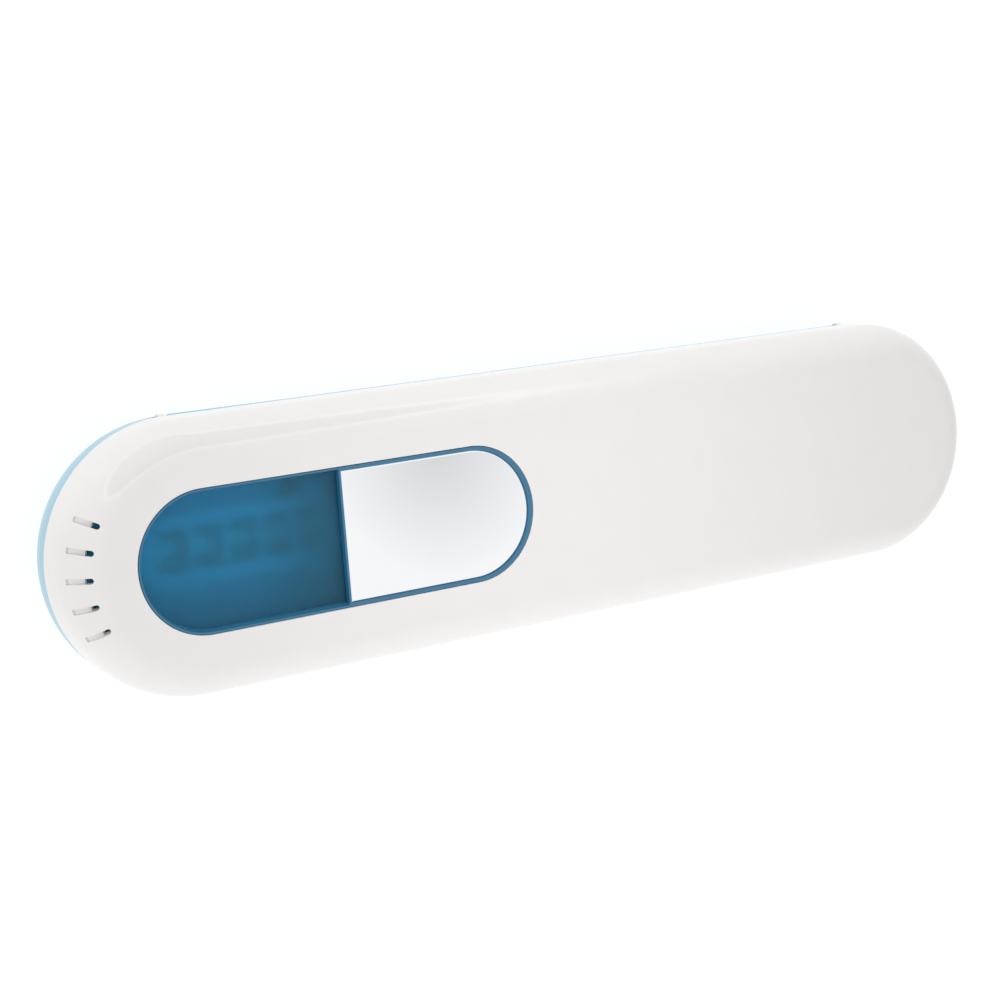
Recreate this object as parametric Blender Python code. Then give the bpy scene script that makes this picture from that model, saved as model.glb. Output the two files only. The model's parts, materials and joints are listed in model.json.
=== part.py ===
"""Travel toothbrush sanitizer: a hinged stadium-shaped case with an ultraviolet lamp.

The case lies on its flat back. X runs along the case, Y across it towards the hinge, and Z up to the
front face. The origin is at the centre of the back face. All lengths are in metres.
"""

import math

import bmesh
import bpy
from mathutils import Vector

MM = 0.001

# Case
CASE_LENGTH = 225.0 * MM
CASE_WIDTH = 54.0 * MM
BASE_HEIGHT = 13.7 * MM
LID_HEIGHT = 14.0 * MM
WALL = 2.0 * MM
SHOULDER_RADIUS = 8.0 * MM
BACK_RADIUS = 11.7 * MM

# Clearances
PART_GAP = 0.3 * MM
BOND_GAP = 0.1 * MM
TRAY_GAP = 0.5 * MM

# Window insert and mirror
WINDOW_LENGTH = 87.1 * MM
WINDOW_WIDTH = 28.1 * MM
WINDOW_END_MARGIN = 13.4 * MM
FLANGE_WIDTH = 3.0 * MM
FLANGE_THICKNESS = 1.3 * MM
INSERT_SET_BACK = 0.1 * MM
RIM_WIDTH = 0.55 * MM
RIM_END_WIDTH = 0.8 * MM
MIRROR_LENGTH = 42.2 * MM
MIRROR_THICKNESS = 0.9 * MM
MIRROR_SET_BACK = 0.25 * MM
MIRROR_GAP = 0.15 * MM
TAPE_THICKNESS = 0.3 * MM
TAPE_INSET = 1.5 * MM
DIVIDER_WIDTH = 0.5 * MM
VIEW_RECESS = 1.2 * MM
VIEW_RIM = 0.2 * MM
VIEW_DRAFT = 0.9 * MM
STAKE_RADIUS = 0.8 * MM
STAKE_HEAD_RADIUS = 1.4 * MM
STAKE_HEAD_HEIGHT = 0.8 * MM
STAKE_SPACING = 24.0 * MM

# Vent slots on the left shoulder
VENT_COUNT = 5
VENT_STEP = math.radians(13.0)
VENT_WIDTH = 1.1 * MM
VENT_INSET = 4.9 * MM
VENT_END_INSET = 0.85 * MM
VENT_DEPTH = 2.6 * MM
VENT_FALL = 2.25 * MM
VENT_LEAN = 0.4

# Hinge along the +Y edge
HINGE_INSET = 0.9 * MM
NOSE_RADIUS = 1.3 * MM
NOSE_CREST = 0.1 * MM
BARREL_RADIUS = 1.15 * MM
EAR_WIDTH = 1.4 * MM
EAR_OFFSET = 0.15 * MM
EAR_REACH = 3.0 * MM
EAR_THICKNESS = 1.8 * MM
NOTCH_DEPTH = 0.5 * MM
NOTCH_FLARE = 0.7 * MM
PIN_RADIUS = 0.5 * MM
PIN_CLEARANCE = 0.12 * MM
PIN_LENGTH = 12.0 * MM

# Closing detent and thumb scoop along the -Y edge
DETENT_LENGTH = 20.0 * MM
DETENT_RADIUS = 0.8 * MM
DETENT_HEIGHT = 0.2 * MM
DETENT_RISE = 1.0 * MM
SCOOP_RADIUS = 20.0 * MM
SCOOP_DEPTH = 1.0 * MM
SCOOP_HEIGHT = 4.5 * MM

# Inner tray
DECK_THICKNESS = 1.4 * MM
LIP_THICKNESS = 1.2 * MM
LIP_RISE = 2.0 * MM
WELL_LENGTH = 76.0 * MM
WELL_WALL = 1.5 * MM
WELL_DRAFT = 0.6 * MM
SADDLE_THICKNESS = 2.0 * MM
SADDLE_HEIGHT = 6.0 * MM
SADDLE_OFFSET = 6.0 * MM
NECK_WIDTH = 14.0 * MM
NECK_NOTCH = 3.4 * MM
GRIP_WIDTH = 22.0 * MM
GRIP_NOTCH = 5.0 * MM

# Screws
BOSS_RADIUS = 2.4 * MM
BOSS_CLEARANCE = 0.4 * MM
BOSS_END_OFFSET = 9.5 * MM
BOSS_END_SPREAD = 11.0 * MM
SCREW_RADIUS = 0.8 * MM
SCREW_CLEARANCE = 0.15 * MM
SCREW_HEAD_RADIUS = 1.8 * MM
SCREW_HEAD_HEIGHT = 1.2 * MM
TRAY_SCREW_LENGTH = 8.0 * MM
BOARD_SCREW_LENGTH = 4.0 * MM

# Ultraviolet lamp
TUBE_RADIUS = 2.5 * MM
TUBE_LENGTH = 42.0 * MM
CAP_RADIUS = 2.8 * MM
CAP_LENGTH = 6.0 * MM
CONTACT_PIN_RADIUS = 0.6 * MM
CONTACT_PIN_LENGTH = 1.2 * MM
HOLDER_LENGTH = 5.0 * MM
HOLDER_WIDTH = 9.0 * MM
REFLECTOR_THICKNESS = 0.4 * MM
REFLECTOR_FLOOR = 5.0 * MM
REFLECTOR_WIDTH = 15.0 * MM
REFLECTOR_RISE = 4.0 * MM
REFLECTOR_END_GAP = 1.0 * MM
TUBE_LIFT = 0.7 * MM
LAMP_OFFSET = -6.7 * MM
WELL_FLOOR = 1.4 * MM
LAMP_SLOT_WIDTH = 10.8 * MM
LAMP_SLOT_EXTRA = 2.0 * MM
GUARD_LIP = 2.0 * MM
GUARD_LIP_THICKNESS = 0.9 * MM
GUARD_BARS = 4
GUARD_BAR_WIDTH = 1.4 * MM
GUARD_RAIL = 0.8 * MM
GUARD_EAR_LENGTH = 6.0 * MM
GUARD_EAR_SPREAD = 20.2 * MM
GUARD_EAR_END = 4.5 * MM
LIFT_HOLE_LENGTH = 4.0 * MM
LIFT_HOLE_WIDTH = 3.6 * MM

# Circuit board
BOARD_WIDTH = 28.0 * MM
BOARD_THICKNESS = 1.2 * MM
BOARD_POST_HEIGHT = 2.6 * MM
BOARD_POST_RADIUS = 2.0 * MM
BOARD_POST_INSET = 3.0 * MM
BOARD_WELL_GAP = 3.0 * MM
BOARD_BAY_GAP = 5.0 * MM
BOARD_SPACING = 0.35 * MM
CORE_LENGTH = 12.0 * MM
CORE_WIDTH = 11.0 * MM
CORE_HEIGHT = 5.6 * MM
CORE_LEG = 2.4 * MM
BOBBIN_INSET = 1.0 * MM
CAN_RADIUS = 2.6 * MM
CAN_LENGTH = 8.0 * MM
CAN_GROOVE = 0.3 * MM
CHIP_LENGTH = 6.0 * MM
CHIP_WIDTH = 4.0 * MM
CHIP_HEIGHT = 1.6 * MM
SWITCH_LENGTH = 7.0 * MM
SWITCH_WIDTH = 6.0 * MM
SWITCH_HEIGHT = 4.2 * MM
PLUNGER_RADIUS = 1.5 * MM
PLUNGER_DEPTH = 2.8 * MM
PLUNGER_RISE = 0.8 * MM
PUSH_ROD_RADIUS = 1.8 * MM

# Battery bay for two AAA cells
CELL_RADIUS = 5.25 * MM
CELL_LENGTH = 44.5 * MM
CELL_BUTTON_RADIUS = 1.9 * MM
CELL_BUTTON_LENGTH = 1.0 * MM
CELL_GAP = 0.5 * MM
BAY_END_MARGIN = 8.5 * MM
BAY_WALL = 1.2 * MM
CONTACT_THICKNESS = 0.4 * MM
CONTACT_WIDTH = 7.0 * MM
CONTACT_LOW = 2.6 * MM
CONTACT_HIGH = 2.8 * MM
TAIL_WIDTH = 2.4 * MM
TAIL_RISE = 1.6 * MM
TAIL_THICKNESS = 0.5 * MM
TAIL_REACH = 2.0 * MM
SPRING_LENGTH = 4.3 * MM
SPRING_WIRE = 0.35 * MM
SPRING_WIDE = 2.9 * MM
SPRING_NARROW = 2.0 * MM
SPRING_TURNS = 3

# Battery door
DOOR_THICKNESS = 1.5 * MM
DOOR_SET_BACK = 0.2 * MM
DOOR_TAB_ZONE = 4.5 * MM
TAB_WIDTH = 4.0 * MM
TAB_OFFSET = 6.0 * MM
TAB_REACH = 1.6 * MM
TAB_THICKNESS = 1.0 * MM
TAB_ROOT = 1.6 * MM
LATCH_WIDTH = 8.0 * MM
LATCH_LENGTH = 1.2 * MM
LATCH_RISE = 1.2 * MM
GRIP_COUNT = 4
GRIP_PITCH = 2.4 * MM
GRIP_GROOVE = 0.5 * MM
GRIP_START = 5.0 * MM

# Leads
LEAD_RADIUS = 0.55 * MM
LEAD_SIDE = 12.5 * MM
LEAD_BEND = 2.0 * MM
LEAD_PAD_INSET = 2.5 * MM

# Facets
END_STEPS = 20
FILLET_STEPS = 6
ROUND_SIDES = 16
SMALL_SIDES = 12
COIL_STEPS = 12
SCOOP_SIDES = 50
SMOOTH_ANGLE = math.radians(32.0)

# Outline of the case
END_RADIUS = CASE_WIDTH / 2
STRAIGHT = CASE_LENGTH / 2 - END_RADIUS
LID_EDGE = BASE_HEIGHT + PART_GAP
FRONT = LID_EDGE + LID_HEIGHT
SHOULDER = min(SHOULDER_RADIUS, LID_HEIGHT - WALL, END_RADIUS - WALL)
BACK_FILLET = min(BACK_RADIUS, BASE_HEIGHT - WALL, END_RADIUS - WALL)

# Window and mirror places
WINDOW_START = -CASE_LENGTH / 2 + WINDOW_END_MARGIN
WINDOW_CENTRE = WINDOW_START + WINDOW_LENGTH / 2
INSERT_LENGTH = WINDOW_LENGTH - 2 * PART_GAP
INSERT_WIDTH = WINDOW_WIDTH - 2 * PART_GAP
INSERT_TOP = FRONT - INSERT_SET_BACK
FLANGE_TOP = FRONT - WALL - BOND_GAP
FLANGE_BOTTOM = FLANGE_TOP - FLANGE_THICKNESS
POCKET_END = WINDOW_CENTRE + INSERT_LENGTH / 2 - RIM_END_WIDTH
POCKET_START = POCKET_END - MIRROR_LENGTH - 2 * MIRROR_GAP
POCKET_WIDTH = INSERT_WIDTH - 2 * RIM_WIDTH
MIRROR_TOP = INSERT_TOP - MIRROR_SET_BACK
TAPE_TOP = MIRROR_TOP - MIRROR_THICKNESS - BOND_GAP
POCKET_FLOOR = TAPE_TOP - TAPE_THICKNESS - BOND_GAP
VIEW_END = POCKET_START - DIVIDER_WIDTH
VIEW_START = WINDOW_CENTRE - INSERT_LENGTH / 2 + VIEW_RIM
VIEW_WIDTH = INSERT_WIDTH - 2 * VIEW_RIM

# Hinge axis and ears
HINGE_Y = CASE_WIDTH / 2 - HINGE_INSET
HINGE_Z = BASE_HEIGHT - NOSE_RADIUS + NOSE_CREST
EAR_CENTRE = STRAIGHT + EAR_OFFSET
NOTCH_HALF = EAR_WIDTH / 2 + PART_GAP
PIN_HOLE = PIN_RADIUS + PIN_CLEARANCE

# Levels above the back
BOARD_BOTTOM = WALL + BOARD_POST_HEIGHT + BOND_GAP
BOARD_TOP = BOARD_BOTTOM + BOARD_THICKNESS
SEAT = BOARD_TOP + BOND_GAP
DOOR_TOP = DOOR_SET_BACK + DOOR_THICKNESS
CELL_Z = max(DOOR_TOP, WALL) + PART_GAP + CELL_RADIUS
TALLEST = max(CORE_HEIGHT, 2 * CAN_RADIUS, CHIP_HEIGHT, SWITCH_HEIGHT)
DECK_BOTTOM = max(CELL_Z + CELL_RADIUS, SEAT + TALLEST) + PART_GAP
DECK_TOP = DECK_BOTTOM + DECK_THICKNESS
LIP_TOP = max(LID_EDGE, DECK_TOP) + LIP_RISE
REFLECTOR_TOP = WALL + PART_GAP + REFLECTOR_THICKNESS
TUBE_Z = REFLECTOR_TOP + TUBE_LIFT + max(TUBE_RADIUS, CAP_RADIUS)
WELL_BOTTOM = TUBE_Z + max(TUBE_RADIUS, CAP_RADIUS) + PART_GAP
WELL_TOP = WELL_BOTTOM + WELL_FLOOR

# Places along the case
LIP_INSET = WALL + TRAY_GAP + LIP_THICKNESS
BOSS_Y = CASE_WIDTH / 2 - LIP_INSET - PART_GAP - max(SCREW_HEAD_RADIUS, BOSS_RADIUS)
WELL_WIDTH = 2 * (BOSS_Y - BOSS_RADIUS - BOSS_CLEARANCE - WELL_WALL)
WELL_START = -STRAIGHT - WELL_WIDTH / 2
WELL_END = WELL_START + WELL_LENGTH
WELL_CENTRE = (WELL_START + WELL_END) / 2
LAMP_CENTRE = WELL_CENTRE + LAMP_OFFSET
BAY_LENGTH = CELL_LENGTH + SPRING_LENGTH + 2 * CONTACT_THICKNESS + 4 * PART_GAP
BAY_WIDTH = 4 * CELL_RADIUS + 3 * CELL_GAP
BAY_END = STRAIGHT - BAY_END_MARGIN
BAY_START = BAY_END - BAY_LENGTH
CELL_Y = CELL_RADIUS + CELL_GAP / 2
BOARD_START = WELL_END + WELL_WALL + BOARD_WELL_GAP
BOARD_END = BAY_START - BAY_WALL - BOARD_BAY_GAP
BOARD_CENTRE = (BOARD_START + BOARD_END) / 2
TRAY_BOSSES = [
    (WELL_CENTRE, BOSS_Y),
    (WELL_CENTRE, -BOSS_Y),
    (STRAIGHT + BOSS_END_OFFSET, BOSS_END_SPREAD),
    (STRAIGHT + BOSS_END_OFFSET, -BOSS_END_SPREAD),
]
BOARD_POST_Y = BOARD_WIDTH / 2 - BOARD_POST_INSET
BOARD_POSTS = [
    (BOARD_START + BOARD_POST_INSET, -BOARD_POST_Y),
    (BOARD_END - BOARD_POST_INSET, BOARD_POST_Y),
]
SWITCH_X = BOARD_CENTRE
SWITCH_Y = -BOARD_WIDTH / 2 + PART_GAP + SWITCH_WIDTH / 2
CHIP_Y = SWITCH_Y + SWITCH_WIDTH / 2 + BOARD_SPACING + CHIP_WIDTH / 2
CORE_Y = CHIP_Y + CHIP_WIDTH / 2 + BOARD_SPACING + CORE_WIDTH / 2
CAN_Y = CORE_Y + CORE_WIDTH / 2 + BOARD_SPACING + CAN_RADIUS
SWITCH_TOP = SEAT + SWITCH_HEIGHT
PLUNGER_TOP = DECK_TOP + PLUNGER_RISE
OPENING_END = BAY_END + BAY_WALL + DOOR_TAB_ZONE
DOOR_START = BAY_START + PART_GAP
DOOR_END = OPENING_END - PART_GAP
DOOR_PIVOT = Vector((OPENING_END - PART_GAP / 2, 0.0, DOOR_SET_BACK))


# Outlines: each returns a ring of points, anticlockwise seen from the side it faces


def stadium(length, width, z, centre=0.0):
    """Two half circles joined by straight sides."""
    radius = width / 2
    reach = length / 2 - radius
    ring = []
    for side, start in ((1, -math.pi / 2), (-1, math.pi / 2)):
        for step in range(END_STEPS + 1):
            angle = start + math.pi * step / END_STEPS
            x = centre + side * reach + radius * math.cos(angle)
            ring.append(Vector((x, radius * math.sin(angle), z)))
    return ring


def half_stadium(flat, tip, width, z, middle=0.0):
    """A straight side across x = flat and a half circle that ends at x = tip, about y = middle."""
    radius = width / 2
    side = 1 if tip > flat else -1
    ring = [Vector((flat, middle + side * radius, z)), Vector((flat, middle - side * radius, z))]
    for step in range(END_STEPS + 1):
        angle = math.pi * (step / END_STEPS - 0.5)
        x = tip - side * radius + side * radius * math.cos(angle)
        ring.append(Vector((x, middle + side * radius * math.sin(angle), z)))
    return ring


def circle(radius, level, centre, axis, sides):
    """A circle across the given axis, at a level along it."""
    ring = []
    for step in range(sides):
        angle = 2 * math.pi * step / sides
        u = centre[0] + radius * math.cos(angle)
        v = centre[1] + radius * math.sin(angle)
        ring.append(lay(u, v, level, axis))
    return ring


def lay(u, v, level, axis):
    """A point of a flat outline, placed across the X, Y or Z axis."""
    if axis == "X":
        return Vector((level, u, v))
    if axis == "Y":
        return Vector((u, level, v))
    return Vector((u, v, level))


# Bodies: each is added to a mesh under construction


def loft(mesh, rings):
    """A closed body through rings of equal count, with a cap at each end."""
    loops = [[mesh.verts.new(point) for point in ring] for ring in rings]
    count = len(loops[0])
    for low, high in zip(loops, loops[1:]):
        for k in range(count):
            after = (k + 1) % count
            mesh.faces.new((low[k], low[after], high[after], high[k]))
    mesh.faces.new(list(reversed(loops[0])))
    mesh.faces.new(loops[-1])


def prism(mesh, outline, start, end, axis="Z"):
    loft(mesh, [[lay(u, v, level, axis) for u, v in outline] for level in (start, end)])


def block(mesh, x, y, z):
    """A box between pairs of limits."""
    outline = [(x[0], y[0]), (x[1], y[0]), (x[1], y[1]), (x[0], y[1])]
    prism(mesh, outline, z[0], z[1])


def turned(mesh, profile, centre, axis="Z", sides=ROUND_SIDES):
    """A body of revolution through (radius, level) pairs along an axis."""
    loft(mesh, [circle(radius, level, centre, axis, sides) for radius, level in profile])


def peg(mesh, radius, centre, start, end, axis="Z", sides=ROUND_SIDES):
    turned(mesh, [(radius, start), (radius, end)], centre, axis, sides)


def body(*calls):
    """A new mesh under construction, filled by (function, arguments...) entries."""
    mesh = bmesh.new()
    for function, *arguments in calls:
        function(mesh, *arguments)
    return mesh


def span(middle, size):
    return (middle - size / 2, middle + size / 2)


# Objects


def mesh_from(name, shape, origin):
    bmesh.ops.recalc_face_normals(shape, faces=shape.faces)
    bmesh.ops.translate(shape, verts=shape.verts, vec=-origin)
    mesh = bpy.data.meshes.new(name)
    shape.to_mesh(mesh)
    shape.free()
    mesh.shade_smooth()
    mesh.set_sharp_from_angle(angle=SMOOTH_ANGLE)
    return mesh


def link(obj, parent):
    bpy.context.scene.collection.objects.link(obj)
    obj.parent = parent
    return obj


def pivot(name, location, parent=None):
    empty = bpy.data.objects.new(name, None)
    empty.location = location
    empty.empty_display_size = 10 * MM
    return link(empty, parent)


def part(name, shape, material, parent, joins=(), cuts=()):
    """One piece of the product: a body, the bodies fused to it, then the bodies cut from it."""
    mesh = mesh_from(name, shape, parent.location)
    mesh.materials.append(material)
    obj = link(bpy.data.objects.new(name, mesh), parent)
    for operation, helpers in (("UNION", joins), ("DIFFERENCE", cuts)):
        for number, helper in enumerate(helpers, 1):
            label = f"{name}_{operation.lower()}_{number}"
            tool = link(bpy.data.objects.new(label, mesh_from(label, helper, parent.location)), parent)
            tool.hide_render = True
            tool.display_type = "WIRE"
            modifier = obj.modifiers.new(label, "BOOLEAN")
            modifier.operation = operation
            modifier.solver = "EXACT"
            modifier.object = tool
    return obj


def wire(name, route, radius, material, parent, resolution):
    """A round wire along a list of points."""
    curve = bpy.data.curves.new(name, "CURVE")
    curve.dimensions = "3D"
    curve.bevel_depth = radius
    curve.bevel_resolution = resolution
    curve.use_fill_caps = True
    spline = curve.splines.new("POLY")
    spline.points.add(len(route) - 1)
    for point, place in zip(spline.points, route):
        point.co = (*place, 1.0)
    curve.materials.append(material)
    return link(bpy.data.objects.new(name, curve), parent)


def smooth_route(corners, steps=4):
    """Points along a smooth curve through the corners of a route."""
    ends = [2 * corners[0] - corners[1]] + corners + [2 * corners[-1] - corners[-2]]
    route = [corners[0]]
    for a, b, c, d in zip(ends, ends[1:], ends[2:], ends[3:]):
        for step in range(1, steps + 1):
            t = step / steps
            bend = (2 * a - 5 * b + 4 * c - d) * t**2
            twist = (3 * b - a - 3 * c + d) * t**3
            route.append(b + 0.5 * ((c - a) * t + bend + twist))
    return route


def shade(name, colour, roughness, metallic=0.0, transmission=0.0):
    """A Principled material from an sRGB hex colour."""
    channels = [int(colour[k : k + 2], 16) / 255 for k in (1, 3, 5)]
    linear = [c / 12.92 if c <= 0.04045 else ((c + 0.055) / 1.055) ** 2.4 for c in channels]
    material = bpy.data.materials.new(name)
    material.use_nodes = True
    shader = material.node_tree.nodes["Principled BSDF"]
    shader.inputs["Base Color"].default_value = (*linear, 1.0)
    shader.inputs["Roughness"].default_value = roughness
    shader.inputs["Metallic"].default_value = metallic
    shader.inputs["Transmission Weight"].default_value = transmission
    material.diffuse_color = (*linear, 1.0)
    return material


# Case shells


def case_ring(inset, z):
    return stadium(CASE_LENGTH - 2 * inset, CASE_WIDTH - 2 * inset, z)


def shell_rings(flat, edge, fillet, wall):
    """Rings of a hollow half of the case: outer flat, round edge, rim, and back along the inside."""
    side = 1 if flat > edge else -1
    turns = [math.pi / 2 * step / FILLET_STEPS for step in range(FILLET_STEPS + 1)]
    spring = flat - side * fillet
    outer = [(fillet * (1 - math.cos(a)), spring + side * fillet * math.sin(a)) for a in turns]
    core = fillet - wall
    inner = [(wall + core * (1 - math.cos(a)), spring + side * core * math.sin(a)) for a in turns]
    section = outer[::-1] + [(0.0, edge), (wall, edge)] + inner
    return [case_ring(inset, z) for inset, z in section]


def wall_level(place, radius):
    """Middle of the rear shell's wall under the outer edge of a round post."""
    along = max(abs(place[0]) - STRAIGHT, 0.0)
    inset = END_RADIUS - math.hypot(along, place[1]) - radius
    slope = max(BACK_FILLET - inset, 0.0)
    return BACK_FILLET - math.sqrt(BACK_FILLET**2 - slope**2) + WALL / 2


def boss(mesh, radius, place, top):
    """A screw post whose foot follows the rounded back of the rear shell."""
    foot = radius / 3
    profile = [(foot, wall_level(place, foot)), (radius, wall_level(place, radius)), (radius, top)]
    turned(mesh, profile, place)


def ear_outline():
    """Hinge ear across the axis: a round eye with a web up into the lid wall."""
    half = EAR_THICKNESS / 2
    start = math.acos(half / BARREL_RADIUS)
    outline = []
    for step in range(SMALL_SIDES + 1):
        angle = start - (math.pi + 2 * start) * step / SMALL_SIDES
        outline.append((HINGE_Y + BARREL_RADIUS * math.cos(angle), HINGE_Z + BARREL_RADIUS * math.sin(angle)))
    top = LID_EDGE + EAR_REACH
    return outline + [(HINGE_Y - half, top), (HINGE_Y + half - PART_GAP / 2, top)]


def nose_outline():
    """What is cut away outside the rounded hinge edge of the rear shell."""
    reach = 3 * NOSE_RADIUS
    outline = []
    for step in range(SMALL_SIDES + 1):
        angle = math.pi / 2 * (1 - step / SMALL_SIDES)
        outline.append((HINGE_Y + NOSE_RADIUS * math.cos(angle), HINGE_Z + NOSE_RADIUS * math.sin(angle)))
    outline += [(HINGE_Y + reach, HINGE_Z), (HINGE_Y + reach, HINGE_Z + reach), (HINGE_Y, HINGE_Z + reach)]
    return outline


def notch_outline(x):
    """Gap for a hinge ear seen from above, flared towards the outside."""
    inside = HINGE_Y - 4 * WALL
    outside = HINGE_Y + 2 * HINGE_INSET
    wide = NOTCH_HALF + 2 * NOTCH_FLARE
    right = [(x + NOTCH_HALF, inside), (x + NOTCH_HALF, HINGE_Y), (x + wide, outside)]
    left = [(x - wide, outside), (x - NOTCH_HALF, HINGE_Y), (x - NOTCH_HALF, inside)]
    return right + left


def stake_places():
    """Heat stakes that hold the window insert: two on each long side and one at each end."""
    side = INSERT_WIDTH / 2 + FLANGE_WIDTH / 2
    end = INSERT_LENGTH / 2 + FLANGE_WIDTH / 2
    places = [(WINDOW_CENTRE - end, 0.0), (WINDOW_CENTRE + end, 0.0)]
    for along in (-STAKE_SPACING, STAKE_SPACING):
        places += [(WINDOW_CENTRE + along, side), (WINDOW_CENTRE + along, -side)]
    return places


def vent_slots():
    """Radial slots about the left end's centre, blind on the shoulder and open at the inner end."""
    mesh = bmesh.new()
    outer = END_RADIUS - VENT_END_INSET
    half = VENT_WIDTH / 2
    for number in range(VENT_COUNT):
        angle = math.pi + VENT_STEP * (number - (VENT_COUNT - 1) / 2)
        along = Vector((math.cos(angle), math.sin(angle), 0.0))
        across = Vector((-along.y, along.x, 0.0))
        rings = []
        for depth, fall in ((VENT_DEPTH, VENT_FALL), (-WALL, 0.0)):
            inner = END_RADIUS - VENT_INSET - VENT_LEAN * depth
            outline = [(outer, half)]
            for step in range(SMALL_SIDES // 2 + 1):
                turn = math.pi / 2 + math.pi * step / (SMALL_SIDES // 2)
                outline.append((inner + half + half * math.cos(turn), half * math.sin(turn)))
            outline.append((outer, -half))
            ring = []
            for reach, side in outline:
                z = FRONT - depth - fall * (reach - inner) / (outer - inner)
                ring.append(Vector((-STRAIGHT, 0.0, z)) + reach * along + side * across)
            rings.append(ring)
        loft(mesh, rings)
    return mesh


def build_lid(lid, paint):
    additions = bmesh.new()
    holes = vent_slots()
    for side in (-1, 1):
        limits = span(side * EAR_CENTRE, EAR_WIDTH)
        prism(additions, ear_outline(), limits[0], limits[1], "X")
        drill = span(side * EAR_CENTRE, EAR_WIDTH + 4 * PART_GAP)
        peg(holes, PIN_HOLE, (HINGE_Y, HINGE_Z), drill[0], drill[1], "X", SMALL_SIDES)
    root = FRONT - WALL / 2
    head = FLANGE_BOTTOM - PART_GAP
    for place in stake_places():
        profile = [
            (STAKE_RADIUS, head - STAKE_HEAD_HEIGHT),
            (STAKE_HEAD_RADIUS, head - STAKE_HEAD_HEIGHT / 2),
            (STAKE_HEAD_RADIUS, head),
            (STAKE_RADIUS, head),
            (STAKE_RADIUS, root),
        ]
        turned(additions, profile, place, "Z", SMALL_SIDES)
    rod = [(PUSH_ROD_RADIUS, PLUNGER_TOP + PART_GAP), (1.25 * PUSH_ROD_RADIUS, root)]
    turned(additions, rod, (SWITCH_X, SWITCH_Y), "Z", SMALL_SIDES)
    window = [stadium(WINDOW_LENGTH, WINDOW_WIDTH, z, WINDOW_CENTRE) for z in (FRONT - 3 * WALL, FRONT + WALL)]
    loft(holes, window)
    groove = DETENT_RADIUS + DETENT_HEIGHT
    groove_y = -CASE_WIDTH / 2 + WALL + DETENT_RADIUS
    reach = span(0.0, DETENT_LENGTH + 4 * PART_GAP)
    peg(holes, groove, (groove_y, LID_EDGE + DETENT_RISE), reach[0], reach[1], "X", SMALL_SIDES)
    rings = shell_rings(FRONT, LID_EDGE, SHOULDER, WALL)
    part("front_shell", body((loft, rings)), paint["white_abs"], lid, [additions], [holes])


def build_window(lid, paint):
    flange = (INSERT_LENGTH + 2 * FLANGE_WIDTH, INSERT_WIDTH + 2 * FLANGE_WIDTH)
    plate = (INSERT_LENGTH, INSERT_WIDTH)
    section = [(flange, FLANGE_BOTTOM), (flange, FLANGE_TOP), (plate, FLANGE_TOP), (plate, INSERT_TOP)]
    rings = [stadium(size[0], size[1], z, WINDOW_CENTRE) for size, z in section]
    over = INSERT_TOP + WALL
    pocket = [half_stadium(POCKET_START, POCKET_END, POCKET_WIDTH, z) for z in (POCKET_FLOOR, over)]
    lean = VIEW_DRAFT / 2
    recess = [
        half_stadium(VIEW_END, VIEW_START + lean, VIEW_WIDTH - VIEW_DRAFT, INSERT_TOP - VIEW_RECESS, lean),
        half_stadium(VIEW_END, VIEW_START, VIEW_WIDTH, INSERT_TOP),
        half_stadium(VIEW_END, VIEW_START, VIEW_WIDTH, over),
    ]
    holes = body((loft, pocket), (loft, recess))
    for place in stake_places():
        peg(holes, STAKE_RADIUS + PART_GAP, place, FLANGE_BOTTOM - WALL, FRONT - WALL / 2, "Z", SMALL_SIDES)
    part("window_insert", body((loft, rings)), paint["tinted_window"], lid, (), [holes])

    start = POCKET_START + MIRROR_GAP
    end = start + MIRROR_LENGTH
    width = POCKET_WIDTH - 2 * MIRROR_GAP
    glass = [half_stadium(start, end, width, z) for z in (MIRROR_TOP - MIRROR_THICKNESS, MIRROR_TOP)]
    part("mirror", body((loft, glass)), paint["mirror_glass"], lid)
    levels = (TAPE_TOP - TAPE_THICKNESS, TAPE_TOP)
    pad = [half_stadium(start + TAPE_INSET, end - TAPE_INSET, width - 2 * TAPE_INSET, z) for z in levels]
    part("mirror_tape", body((loft, pad)), paint["foam_tape"], lid)


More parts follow.
